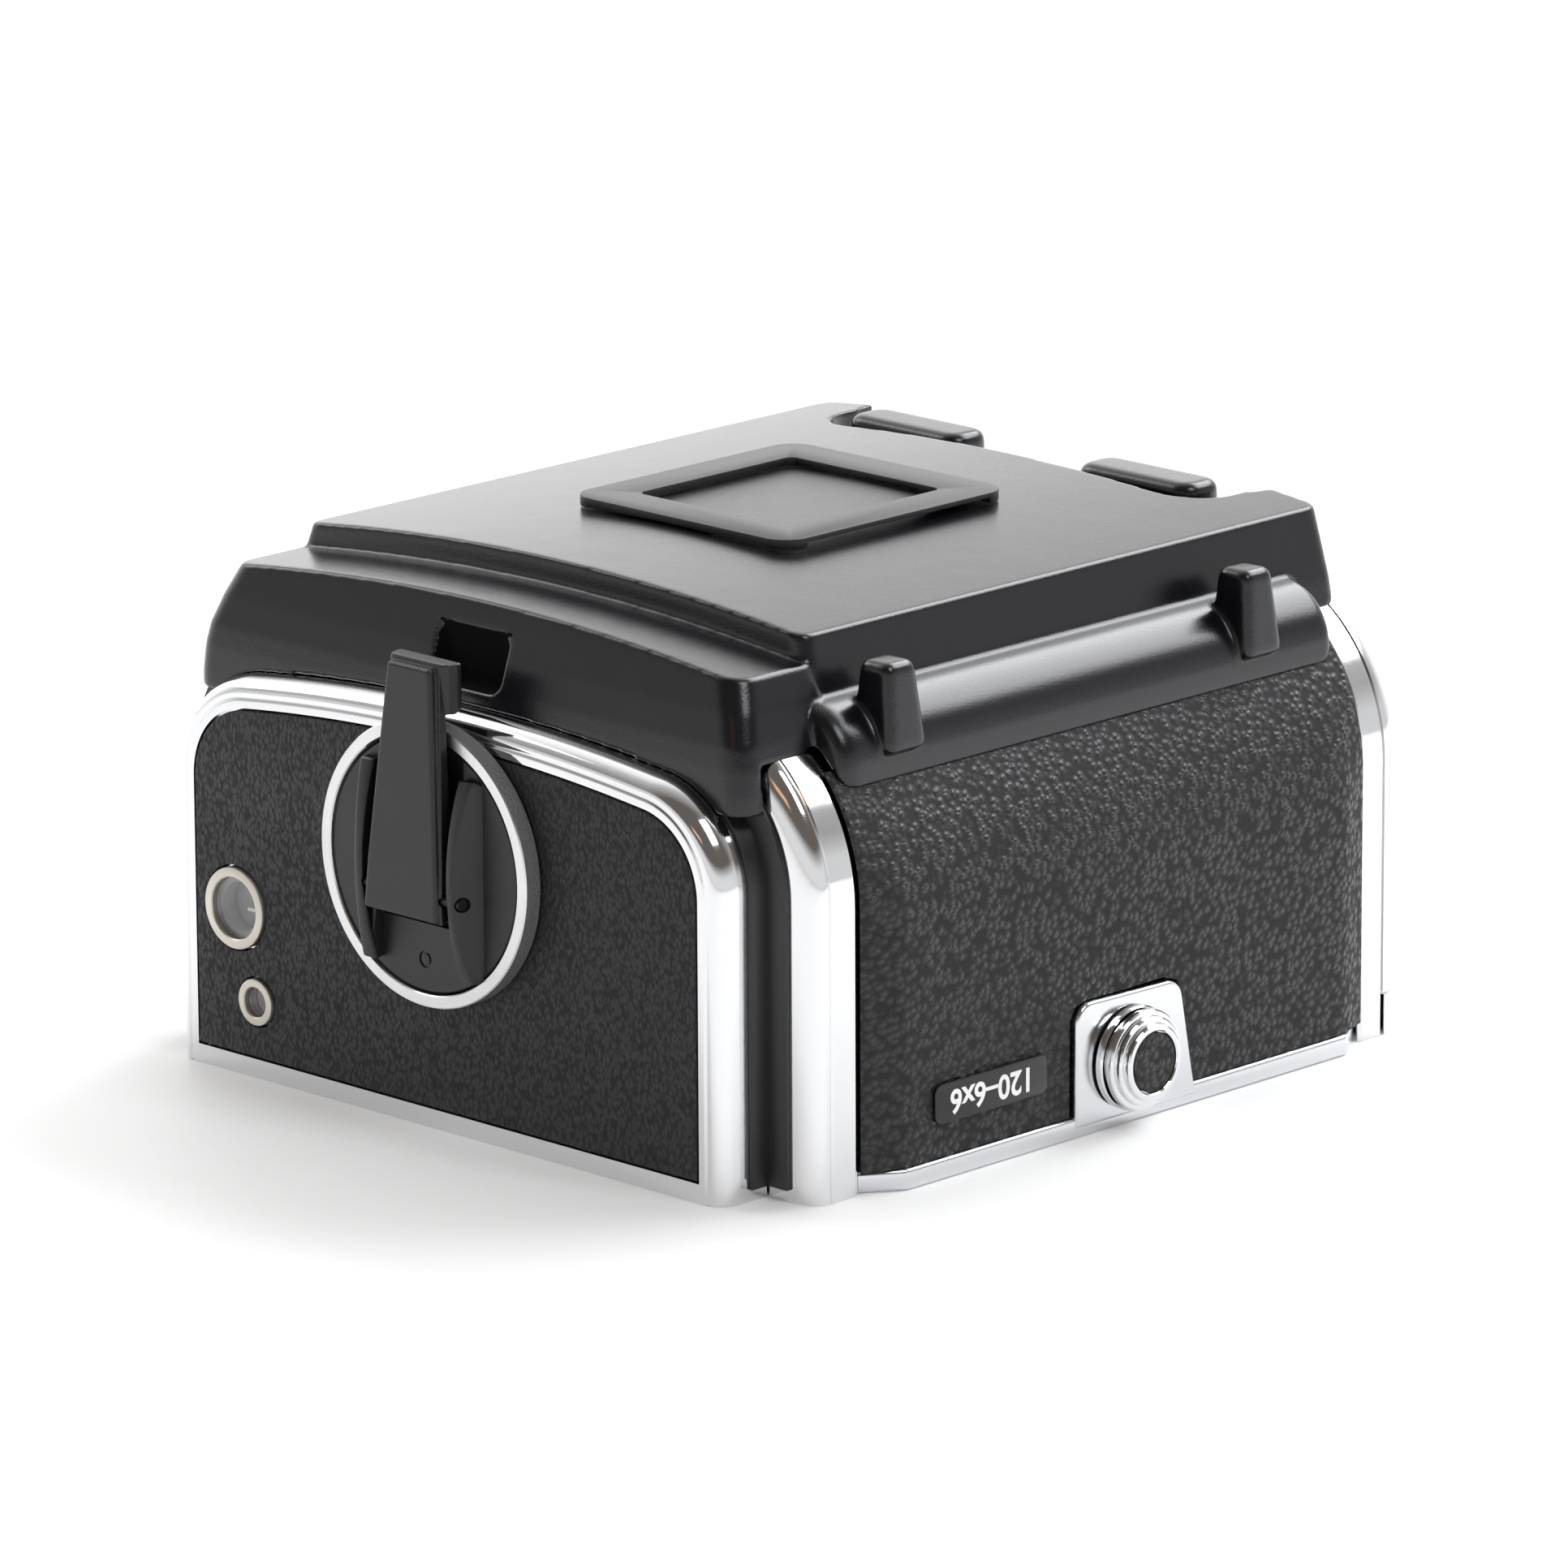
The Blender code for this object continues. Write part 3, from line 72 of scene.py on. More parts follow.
SKIN_HALF, SKIN_R, SKIN_TOP, SKIN_CROWN, SKIN_FOOT = 34.6, 8.0, 38.8, 228.0, 1.9
SKIN_FACE, SKIN_BACK, SKIN_GAP = -55.1, -54.5, 0.25
SIDE_SKIN_TOP = 40.4
CRANK_Z = 27.0
RING_R, RING_IN, RING_FACE = 14.1, 12.8, -57.3
DISC_R, DISC_FACE, DISC_FLOOR, DISC_BACK = 12.6, -57.1, -56.1, -55.4
FIN_TIP_Y, FIN_INNER_X, FIN_OUTER_X, FIN_SPREAD = -59.95, 5.75, 6.75, 1.35
HINGE_Y, HINGE_Z, HINGE_BORE = -59.0, 24.7, 0.75
SHAFT_BORE = 1.9
COUNTER_WINDOW, STATUS_WINDOW = (-28.8, 16.8), (-26.0, 7.8)
DIAL_CENTRE = (-22.0, 19.2)
TAKEUP_CENTRE = (26.08, 28.1)
BUTTON_Y, BUTTON_Z, INLAY_R = -7.9, 6.8, 2.95
TAB_FACE = 46.2
MEMO_CENTRE_Y, MEMO_FACE = -7.0, 54.95
MEMO_HALF_X, MEMO_HALF_Y, MEMO_HOLE_X, MEMO_HOLE_Y = 14.75, 15.55, 10.2, 10.7
GLASS_FACE, GLASS_BACK = -54.75, -54.25
LABEL_Y, LABEL_Z, LABEL_BACK, LABEL_FACE = -27.0, 7.5, 45.65, 46.0
KEY_Z, KEY_R = 24.0, 10.5
LUG_PLACES = (-34.2, 15.9)
BAR_X, BAR_Y, BAR_Z = (8.0, 23.6), (25.0, 30.6), (47.4, 53.65)
TIER_FACE = -49.6
POCKET_HALF, POCKET_LOW, POCKET_HIGH = 4.7, 43.3, 49.0
COVER_VOXEL, COVER_ROUNDS = 0.2, 20
ARM_VOXEL, ARM_ROUNDS = 0.08, 4

# ---- light and camera, in metres and degrees ------------------------------------------
SWEEP_BACK, SWEEP_SIDE, SWEEP_FRONT, SWEEP_STRENGTH = 0.90, 0.36, 0.42, 2.2
CEILING_COLOUR = (0.072, 0.064, 0.057)
TOWARD_CAMERA = (0.699, -0.715, 0.0)
LIGHT_AIM = (0, 0, 0.04)
COOL, WARM = (0.96, 0.98, 1.0), (1.0, 0.55, 0.28)
CAMERA_AZIMUTH, CAMERA_ELEVATION, CAMERA_ROLL, CAMERA_LENS = 44.37, 14.87, -0.28, 246.4
CAMERA_TARGET, CAMERA_DISTANCE = (38.99, -47.83, 40.24), 1.0


def find_offset():
    """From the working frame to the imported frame, by two boxes that the frame gives."""
    plate_low, plate_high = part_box("front_plate")
    skin_low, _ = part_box("crank_side_skin")
    middle = (plate_low[0] + plate_high[0]) / 2 - 0.1 * MM
    return Vector((middle, skin_low[1] - SKIN_FACE * MM, 0.0))


OFFSET = find_offset()


# ---- shader helpers -------------------------------------------------------------------
def new_material(name, colour, roughness, metallic=0.0, **more):
    made = bpy.data.materials.new(name)
    made.use_nodes = True
    shader = made.node_tree.nodes["Principled BSDF"]
    shader.inputs["Base Color"].default_value = (*colour, 1.0)
    shader.inputs["Roughness"].default_value = roughness
    shader.inputs["Metallic"].default_value = metallic
    for socket, value in more.items():
        shader.inputs[socket.replace("_", " ")].default_value = value
    return made


def node(tree, kind, **settings):
    made = tree.nodes.new(kind)
    for key, value in settings.items():
        if key in made.inputs:
            made.inputs[key].default_value = value
        else:
            setattr(made, key, value)
    return made


def object_space(tree, scale=(1, 1, 1)):
    coords = tree.nodes.new("ShaderNodeTexCoord")
    mapping = tree.nodes.new("ShaderNodeMapping")
    mapping.inputs["Scale"].default_value = scale
    tree.links.new(coords.outputs["Object"], mapping.inputs["Vector"])
    return mapping.outputs["Vector"]


def add_bump(material, height, strength, distance, previous=None):
    tree = material.node_tree
    bump = node(tree, "ShaderNodeBump", Strength=strength, Distance=distance)
    tree.links.new(height, bump.inputs["Height"])
    if previous:
        tree.links.new(previous, bump.inputs["Normal"])
    tree.links.new(bump.outputs["Normal"], tree.nodes["Principled BSDF"].inputs["Normal"])
    return bump.outputs["Normal"]


def ramp(tree, value, stops):
    """Colour ramp of (position, grey level or colour) stops."""
    made = tree.nodes.new("ShaderNodeValToRGB")
    while len(made.color_ramp.elements) < len(stops):
        made.color_ramp.elements.new(0.5)
    for element, (position, level) in zip(made.color_ramp.elements, stops):
        element.position = position
        colour = level if isinstance(level, tuple) else (level,) * 3
        element.color = (*colour, 1.0)
    tree.links.new(value, made.inputs["Fac"])
    return made.outputs["Color"]


def noise(tree, vector, scale, detail=2.0, roughness=0.5):
    made = node(tree, "ShaderNodeTexNoise", Scale=scale, Detail=detail, Roughness=roughness)
    tree.links.new(vector, made.inputs["Vector"])
    return made.outputs["Fac"]


def leather(name, stretch, cell, depth, profile, tone, sheen):
    """Pebbled leatherette: small domes with dark creases between them and glossier tips; the base colour
    is painted lighter on the dome tips and darker into the creases, painted light and shade on top of the
    bumps' own shading.

    cell and depth are in metres, profile shapes a dome from its tip to the crease.
    """
    made = new_material(name, (0.012, 0.012, 0.013), 0.5)
    tree = made.node_tree
    vector = object_space(tree, stretch)
    wobble = node(tree, "ShaderNodeTexNoise", Scale=0.9 / cell, Detail=1.0)
    tree.links.new(vector, wobble.inputs["Vector"])
    mix = node(tree, "ShaderNodeVectorMath", operation="MULTIPLY_ADD")
    mix.inputs[1].default_value = (0.35 * cell,) * 3
    tree.links.new(wobble.outputs["Color"], mix.inputs[0])
    tree.links.new(vector, mix.inputs[2])
    cells = node(tree, "ShaderNodeTexVoronoi", feature="F1", Scale=1.0 / cell)
    tree.links.new(mix.outputs[0], cells.inputs["Vector"])
    dome = ramp(tree, cells.outputs["Distance"], profile)
    size = node(tree, "ShaderNodeMapRange")
    for socket, value in (("From Min", 0.0), ("From Max", 1.0), ("To Min", 0.75), ("To Max", 1.0)):
        size.inputs[socket].default_value = value
    tree.links.new(cells.outputs["Color"], size.inputs["Value"])
    varied = node(tree, "ShaderNodeMath", operation="MULTIPLY")
    tree.links.new(dome, varied.inputs[0])
    tree.links.new(size.outputs["Result"], varied.inputs[1])
    normal = add_bump(made, varied.outputs[0], 1.0, depth)
    add_bump(made, noise(tree, vector, 7.0 / cell, 2.0), 0.2, depth * 0.25, normal)
    shader = tree.nodes["Principled BSDF"]
    # painted light and shade: base colour lightest on the dome tips, darkest in the creases between them
    crease_shade_levels = ((0.0, 0.013, 0.016), (0.35, 0.009, 0.011), (0.7, 0.004, 0.005))
    stops = [(place, (grey * tone, grey * tone, blue * tone)) for place, grey, blue in crease_shade_levels]
    painted_crease_shade = ramp(tree, cells.outputs["Distance"], stops)
    tree.links.new(painted_crease_shade, shader.inputs["Base Color"])
    gloss = ramp(tree, cells.outputs["Distance"], [(0.0, sheen), (0.35, sheen + 0.12), (0.7, 0.75)])
    tree.links.new(gloss, shader.inputs["Roughness"])
    return made


def paint(name, colour, roughness, grain, strength):
    """Sprayed enamel with a fine orange-peel grain."""
    made = new_material(name, colour, roughness)
    tree = made.node_tree
    vector = object_space(tree)
    peel = add_bump(made, noise(tree, vector, 1.0 / grain, 2.0, 0.6), strength, grain * 0.35)
    add_bump(made, noise(tree, vector, 160.0, 1.0), 0.05, 0.0006, peel)
    return made


def polished(name, colour, roughness, stretch=(1, 1, 1), strength=0.04):
    """Plated metal with faint polishing marks."""
    made = new_material(name, colour, roughness, 1.0)
    tree = made.node_tree
    vector = object_space(tree, stretch)
    marks = noise(tree, vector, 900.0, 3.0, 0.6)
    add_bump(made, marks, strength, 0.00008)
    shader = tree.nodes["Principled BSDF"]
    patches = noise(tree, vector, 120.0, 4.0, 0.65)
    haze = ramp(tree, patches, [(0.3, roughness * 0.8), (0.75, roughness * 1.6)])
    tree.links.new(haze, shader.inputs["Roughness"])
    return made


COARSE_DOME = [(0.0, 1.0), (0.22, 0.86), (0.48, 0.30), (0.72, 0.0)]
FLAT_DOME = [(0.0, 1.0), (0.38, 0.86), (0.60, 0.40), (0.8, 0.0)]

LOOKS = {
    "black_paint": paint("satin black enamel", (0.0040, 0.0043, 0.0066), 0.225, 0.00022, 0.24),
    "black_plastic": paint("matte black", (0.008, 0.008, 0.0085), 0.4, 0.00018, 0.35),
    "memo": paint("textured black", (0.012, 0.012, 0.0125), 0.40, 0.00026, 0.45),
    "leatherette": leather("leatherette", (1, 1, 1.2), 0.00088, 0.00020, COARSE_DOME, 1.0, 0.27),
    "leather_face": leather("leatherette, long grain", (1.35, 1.0, 0.8), 0.00052, 0.00008, FLAT_DOME,
                            1.3, 0.42),
    "chrome": polished("chrome", (0.735, 0.74, 0.75), 0.085),
    "chrome_face": polished("satin chrome", (0.68, 0.69, 0.71), 0.17, (1, 3.0, 0.4)),
    "ring_face": polished("bright silver", (0.66, 0.665, 0.67), 0.26),
    "knurl": paint("knurled dark metal", (0.14, 0.14, 0.145), 0.30, 0.00034, 1.0),
    "nickel": polished("nickel", (0.60, 0.565, 0.51), 0.38),
    "steel": polished("steel", (0.5, 0.5, 0.51), 0.3),
    "brass": polished("brass", (0.68, 0.47, 0.2), 0.3),
    "anodised": new_material("anodised", (0.03, 0.03, 0.031), 0.42, 0.5),
    "glass": new_material("glass", (1.0, 1.0, 1.0), 0.02, 0.0, Transmission_Weight=1.0, IOR=1.45),
    "dial_face": new_material("dial", (0.30, 0.30, 0.31), 0.5),
    "bezel": new_material("grey bezel", (0.42, 0.42, 0.43), 0.45),
    "white": new_material("white print", (0.85, 0.85, 0.84), 0.5),
    "flag_red": new_material("red flag", (0.45, 0.03, 0.02), 0.5),
    "label_black": new_material("gloss black label", (0.006, 0.006, 0.007), 0.16),
    "memo_card": paint("memo card", (0.009, 0.009, 0.0095), 0.30, 0.0003, 0.5),
    "felt": new_material("felt", (0.004, 0.004, 0.004), 0.95, Specular_IOR_Level=0.08),
    "strip": new_material("dark strip", (0.012, 0.012, 0.013), 0.35),
}


# ---- mesh helpers ---------------------------------------------------------------------
def add_mesh(name, bm, look=None):
    bmesh.ops.recalc_face_normals(bm, faces=bm.faces)
    bmesh.ops.scale(bm, vec=(MM, MM, MM), verts=bm.verts)
    bmesh.ops.translate(bm, vec=OFFSET, verts=bm.verts)
    mesh = bpy.data.meshes.new(name)
    bm.to_mesh(mesh)
    bm.free()
    obj = bpy.data.objects.new(name, mesh)
    bpy.context.scene.collection.objects.link(obj)
    if look:
        mesh.materials.append(LOOKS[look])
    return obj


def smooth(obj, degrees=35):
    obj.data.shade_smooth()
    obj.data.set_sharp_from_angle(angle=math.radians(degrees))
    return obj


def bake(obj):
    """Apply the modifiers."""
    bpy.context.view_layer.update()
    depsgraph = bpy.context.evaluated_depsgraph_get()
    mesh = bpy.data.meshes.new_from_object(obj.evaluated_get(depsgraph))
    old = obj.data
    obj.modifiers.clear()
    obj.data = mesh
    bpy.data.meshes.remove(old)
    return obj


def combine(obj, others, operation):
    for number, other in enumerate(others):
        modifier = obj.modifiers.new("%s_%d" % (operation, number), "BOOLEAN")
        modifier.operation = operation
        modifier.solver = "EXACT"
        modifier.object = other
    bake(obj)
    for other in others:
        bpy.data.objects.remove(other, do_unlink=True)
    return obj


def cut(obj, *others):
    return combine(obj, others, "DIFFERENCE")


def join(obj, *others):
    return combine(obj, others, "UNION")


def soften(obj, width, segments=3, angle=35):
    bevel = obj.modifiers.new("edge", "BEVEL")
    bevel.width = width * MM
    bevel.segments = segments
    bevel.limit_method = "ANGLE"
    bevel.angle_limit = math.radians(angle)
    bake(obj)
    return smooth(obj)


def cast(obj, voxel, rounds, look):
    """Remesh and relax: gives the rounded edges and fillets of a painted casting."""
    remesh = obj.modifiers.new("remesh", "REMESH")
    remesh.mode = "VOXEL"
    remesh.voxel_size = voxel * MM
    relax = obj.modifiers.new("relax", "SMOOTH")
    relax.factor = 0.5
    relax.iterations = rounds
    bake(obj)
    obj.data.materials.clear()
    obj.data.materials.append(LOOKS[look])
    obj.data.shade_smooth()
    return obj


def box(name, low, high, look=None):
    bm = bmesh.new()
    bmesh.ops.create_cube(bm, size=1.0)
    bmesh.ops.scale(bm, vec=[high[i] - low[i] for i in range(3)], verts=bm.verts)
    bmesh.ops.translate(bm, vec=[(high[i] + low[i]) / 2 for i in range(3)], verts=bm.verts)
    return add_mesh(name, bm, look)


def slab(name, outline, axis, start, end, look=None):
    """Prism of an outline, pushed along an axis."""
    place = {"X": lambda a, b, c: (c, a, b), "Y": lambda a, b, c: (a, c, b),
             "Z": lambda a, b, c: (a, b, c)}[axis]
    bm = bmesh.new()
    base = bm.faces.new([bm.verts.new(place(a, b, start)) for a, b in outline])
    pushed = bmesh.ops.extrude_face_region(bm, geom=[base])["geom"]
    verts = [item for item in pushed if isinstance(item, bmesh.types.BMVert)]
    bmesh.ops.translate(bm, vec=place(0, 0, end - start), verts=verts)
    return add_mesh(name, bm, look)


def loft(name, loops, look=None, angle=35):
    """Closed solid through loops that hold the same number of points."""
    bm = bmesh.new()
    rows = [[bm.verts.new(point) for point in loop] for loop in loops]
    count = len(rows[0])
    for row, following in zip(rows, rows[1:]):
        for i in range(count):
            j = (i + 1) % count
            bm.faces.new((row[i], row[j], following[j], following[i]))
    bm.faces.new(rows[0])
    bm.faces.new(rows[-1])
    return smooth(add_mesh(name, bm, look), angle)


def turned(name, profile, axis, centre, look=None, steps=96, angle=30):
    """Body of revolution: profile holds (radius, height along the axis) pairs."""
    place = {"X": lambda u, v, h: (h, u, v), "Y": lambda u, v, h: (u, h, v),
             "Z": lambda u, v, h: (u, v, h)}[axis]
    bm = bmesh.new()
    rows = []
    for i in range(steps):
        a = 2 * math.pi * i / steps
        ring = [(centre[0] + r * math.cos(a), centre[1] + r * math.sin(a), h) for r, h in profile]
        rows.append([bm.verts.new(place(*point)) for point in ring])
    for row, following in zip(rows, rows[1:] + rows[:1]):
        for k in range(len(profile)):
            m = (k + 1) % len(profile)
            bm.faces.new((row[k], row[m], following[m], following[k]))
    bmesh.ops.remove_doubles(bm, verts=bm.verts, dist=1e-5)
    bmesh.ops.dissolve_degenerate(bm, edges=bm.edges, dist=1e-5)
    return smooth(add_mesh(name, bm, look), angle)


def rod(name, axis, start, end, centre, radius, look=None, sides=64):
    profile = [(0.0, start), (radius, start), (radius, end), (0.0, end)]
    return turned(name, profile, axis, centre, look, sides)


# ---- outlines -------------------------------------------------------------------------
def arc(cx, cy, radius, start, end, count):
    angles = [math.radians(start + (end - start) * i / count) for i in range(count + 1)]
    return [(cx + radius * math.cos(a), cy + radius * math.sin(a)) for a in angles]


def arch(half, foot, radius, top, crown=None, corner=28, span=24):
    """Upright sides, round shoulders and a top that is flat or has a crown radius."""
    inner = half - radius
    if crown is None:
        shoulder, lean = top - radius, 0.0
    else:
        shoulder = top - crown + math.sqrt((crown - radius) ** 2 - inner ** 2)
        lean = math.degrees(math.asin(inner / (crown - radius)))
    right = arc(inner, shoulder, radius, 0, 90 - lean, corner)
    points = [(half, foot)] + right
    if crown is not None:
        points += arc(0, top - crown, crown, 90 - lean, 90 + lean, span)[1:-1]
    points += [(-x, z) for x, z in reversed(right)]
    return points + [(-half, foot)]


def rounded_box(x0, x1, y0, y1, radius, count=8):
    points = arc(x1 - radius, y1 - radius, radius, 0, 90, count)
    points += arc(x0 + radius, y1 - radius, radius, 90, 180, count)
    points += arc(x0 + radius, y0 + radius, radius, 180, 270, count)
    return points + arc(x1 - radius, y0 + radius, radius, 270, 360, count)


def crowned(half, edge_z, peak_z, count=40):
    """Arc from +half to -half that rises from edge_z to peak_z."""
    rise = peak_z - edge_z
    radius = (half ** 2 + rise ** 2) / (2 * rise)
    angle = math.degrees(math.asin(half / radius))
    return arc(0, peak_z - radius, radius, 90 - angle, 90 + angle, count)


def shifted(points, centre):
    return [(x + centre[0], y + centre[1]) for x, y in points]


def mirrored(points, side):
    return [(side * x, z) for x, z in points]


def flanked(top, foot_x, foot_z, down=3.0):
    """Closes a crowned arc with sloped sides that pass through (foot_x, foot_z)."""
    half, edge_z = top[0]
    low = foot_z - down
    low_x = half + (foot_x - half) * (edge_z - low) / (edge_z - foot_z)
    return [(low_x, low)] + top + [(-low_x, low)]


def quarter(inset, depth, steps=10):
    """(inset, depth) pairs that roll from a side wall to a face."""
    angles = [math.pi / 2 * i / steps for i in range(steps + 1)]
    return [(inset * (1 - math.cos(a)), depth * (1 - math.sin(a))) for a in angles]


def stands_for(obj, body, *names):
    """The piece rides the body and is shown instead of the named CAD nodes."""
    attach(obj, body)
    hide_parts(*names)
    return obj


# ---- body -----------------------------------------------------------------------------
def arch_loops(half, foot, radius, top, crown, steps):
    """Loops of one arch at (inset, y) pairs; the foot stays on its own height."""
    loops = []
    for inset, y in steps:
        crown_here = crown - inset if crown else None
        outline = arch(half - inset, foot, radius - inset, top - inset, crown_here)
        loops.append([(x, y, z) for x, z in outline])
    return loops


def skin_arch(grow):
    """Outline of the crank side's leather recess, grown by a distance."""
    return arch(SKIN_HALF + grow, SKIN_FOOT - grow, SKIN_R + grow, SKIN_TOP + grow, SKIN_CROWN + grow)


def through(places):
    """Bores along Y through the crank side, from (centre, radius) pairs."""
    return [rod("bore", "Y", -60, -50, centre, radius) for centre, radius in places]


def gear_case():
    """Rounded edge, a fine groove inside it and a flat lip round the leather's recess."""
    bead = [(i, CASE_FACE + 0.1 + d) for i, d in quarter(1.65, 2.5, 14)]
    dips = ((1.8, 0.14), (1.95, 0.16), (2.1, 0.12), (2.2, 0.02), (2.35, 0))
    groove = [(i, CASE_FACE + d) for i, d in dips]
    loops = arch_loops(CASE_HALF, 0, CASE_R, CASE_TOP, CASE_CROWN, [(0, CASE_BACK)] + bead + groove)
    case = loft("gear_case", loops, "chrome", angle=50)
    recess = slab("recess", skin_arch(0), "Y", -60, CASE_FLOOR)
    hollow = slab("hollow", arch(35.2, 1.4, 8.6, 39.4, 228.6), "Y", CASE_INSIDE, -40)
    bores = through((((0, CRANK_Z), 3.6), (COUNTER_WINDOW, 3.3), (STATUS_WINDOW, 1.7)))
    cut(case, hollow, recess, *bores)
    return stands_for(smooth(case, 40), "body", "gear_case")


def groove_strip(name, side):
    """Black lining of the corner between the gear case and the body, bent round the shoulder."""
    def leg(inner, outer, near, far):
        band = []
        for grow in (inner, outer):
            whole = arch(CASE_HALF + grow, STRIP_FOOT, CASE_R + grow, CASE_TOP + grow, CASE_CROWN)
            band.append([(x, z) for x, z in whole if x > 0 and z < STRIP_TOP])
        return slab(name, mirrored(band[0] + band[1][::-1], side), "Y", near, far, "strip")
    wall = leg(0.03, 0.4, STRIP_NEAR, NEAR_FACE - 0.02)
    foot = leg(0.1, 2.9, NEAR_FACE - 0.45, NEAR_FACE - 0.02)
    join(wall, foot)
    return stands_for(soften(wall, 0.12, 2, 50), "body", name)


def drive_bulkhead():
    steps = [(0, NEAR_SEAM - 0.06)] + [(i, NEAR_FACE + d) for i, d in quarter(3.3, 2.15, 14)]
    loops = arch_loops(RIM_HALF, 0, RIM_R, RIM_TOP, None, steps)
    wall = loft("drive_bulkhead", loops, "chrome", angle=50)
    bores = [rod("bore", "Y", -50, -40, centre, 1.95) for centre in ((0, CRANK_Z), TAKEUP_CENTRE)]
    return stands_for(smooth(cut(wall, *bores), 50), "body", "drive_bulkhead")


def main_shell():
    """Chrome body with softened rims; the leather panels sit between them."""
    steps = [(0.35, NEAR_SEAM), (0.0, NEAR_SEAM + 0.3), (0.0, RIM_NEAR - 0.35), (0.2, RIM_NEAR - 0.05)]
    steps += [(0.2, RIM_FAR + 0.05), (0.0, RIM_FAR + 0.35), (0.0, FAR_SEAM - 0.3), (0.35, FAR_SEAM)]
    shell = loft("main_shell", arch_loops(RIM_HALF, 0, RIM_R, RIM_TOP, None, steps), "chrome")
    inside = arch(RIM_HALF - SHELL_WALL, -5, RIM_R - SHELL_WALL, RIM_TOP - SHELL_WALL)
    hollow = slab("hollow", inside, "Y", -60, 60)
    foot = box("foot", (-50, RIM_NEAR + 0.05, -1), (50, RIM_FAR - 0.05, LEDGE_TOP + 0.3))
    pocket = box("pocket", (RIM_HALF - 1.0, -15.8, -1), (50, 2.2, 13.4))
    slot = box("slot", (30, -14.5, 3.5), (50, 5.2, 10.2))
    return stands_for(smooth(cut(shell, hollow, foot, pocket, slot), 30), "body", "main_shell")


def insert_end_plate():
    steps = [(0, FAR_SEAM + 0.05)] + [(i, FAR_FACE - d) for i, d in quarter(3.0, 3.0)]
    loops = arch_loops(RIM_HALF, END_FOOT, RIM_R, RIM_TOP, None, steps)
    plate = loft("insert_end_plate", loops, "chrome", angle=50)
    sunk = arch(RIM_HALF - END_RIM, END_FOOT + 1.9, RIM_R - END_RIM, RIM_TOP - END_RIM)
    recess = slab("recess", sunk, "Y", FAR_FACE - END_RECESS, 50)
    seat = rod("seat", "Y", 33.2, 50, (0, KEY_Z), KEY_R + 0.3)
    bore = rod("bore", "Y", 20, 50, (0, KEY_Z), 2.2)
    return stands_for(smooth(cut(plate, recess, seat, bore), 40), "insert", "insert_end_plate")


def front_plate():
    """Ledge of the camera-side face, with the release button's tab on it."""
    near, far, inner, corner = NEAR_SEAM + 0.3, FAR_SEAM - 0.3, 41.4, 43.2
    right = [(inner, near), (inner, RIM_NEAR + 0.3), (corner, RIM_NEAR + 0.3), (LEDGE_HALF, BEND_NEAR),
             (LEDGE_HALF, BEND_FAR), (corner, RIM_FAR - 0.3), (inner, RIM_FAR - 0.3), (inner, far)]
    outline = right + mirrored(right[::-1], -1)
    plate = slab("front_plate", outline, "Z", 0.0, LEDGE_TOP, "chrome_face")
    plate = soften(plate, 0.4, 3, 30)
    rounded = arc(-13.2, 11.2, 2.1, 180, 95, 8) + arc(-2.4, 10.9, 2.2, 85, 10, 8)
    tab = [(-15.4, 1.0)] + rounded + [(1.7, 1.0)]
    flap = soften(slab("flap", tab, "X", 44.7, TAB_FACE, "chrome_face"), 0.35, 3)
    join(plate, flap)
    gate = box("gate", (-28, -35.9, -1), (28, 20.1, 5))
    slot = slab("slot", shifted(rounded_box(-2.4, 4.0, -1.2, 1.2, 1.1), (BUTTON_Y, BUTTON_Z)), "X", 43, 47)
    return stands_for(smooth(cut(plate, gate, slot), 30), "body", "front_plate")


def side_skin(name, side):
    """Leather with slanted facets towards both rims."""
    def curve(half, radius, top):
        shoulder = top - radius
        limit = math.degrees(math.asin(min(1.0, (SIDE_SKIN_TOP - shoulder) / radius)))
        return [(half, LEDGE_TOP + 0.06)] + arc(half - radius, shoulder, radius, 0, limit, 48)

    def above_rim(grow):
        return curve(RIM_HALF + grow, RIM_R + grow, RIM_TOP + grow)
    inner, edge, thin = above_rim(0.2), above_rim(0.25), above_rim(0.45)
    full = curve(BULGE_HALF, BULGE_R, BULGE_TOP)

    def between(share):
        eased = share if share < 0.75 else share - (share - 0.75) ** 2 * 0.8
        return [(a[0] + (b[0] - a[0]) * eased, a[1] + (b[1] - a[1]) * eased) for a, b in zip(thin, full)]
    near, far = RIM_NEAR + 0.35, RIM_FAR - 0.35
    rows = [(RIM_NEAR + 0.1, edge)]
    rows += [(near + (BEND_NEAR - near) * i / 8, between(i / 8)) for i in range(9)]
    rows += [(BEND_NEAR + 1.0, full), (BEND_FAR - 1.0, full)]
    rows += [(BEND_FAR + (far - BEND_FAR) * i / 8, between(1 - i / 8)) for i in range(9)]
    rows += [(RIM_FAR - 0.1, edge)]
    loops = [[(side * x, y, z) for x, z in outer + inner[::-1]] for y, outer in rows]
    panel = loft(name, loops, "leatherette")
    if side > 0:
        gap = [(-15.8, 0), (-15.7, 11.8), (-14.9, 13.0), (-13.5, 13.4), (-2.4, 13.4), (-0.5, 12.8),
               (0.3, 11.1), (2.2, 0)]
        cut(panel, slab("gap", gap, "X", 30, 60))
    return stands_for(smooth(panel, 30), "body", name)


def crank_side_skin():
    panel = slab("crank_side_skin", skin_arch(-SKIN_GAP), "Y", SKIN_FACE, SKIN_BACK, "leather_face")
    soften(panel, 0.15, 2, 60)
    holes = through((((0, CRANK_Z), 4.2), (COUNTER_WINDOW, 4.35), (STATUS_WINDOW, 2.6)))
    return stands_for(smooth(cut(panel, *holes), 30), "body", "crank_side_skin")


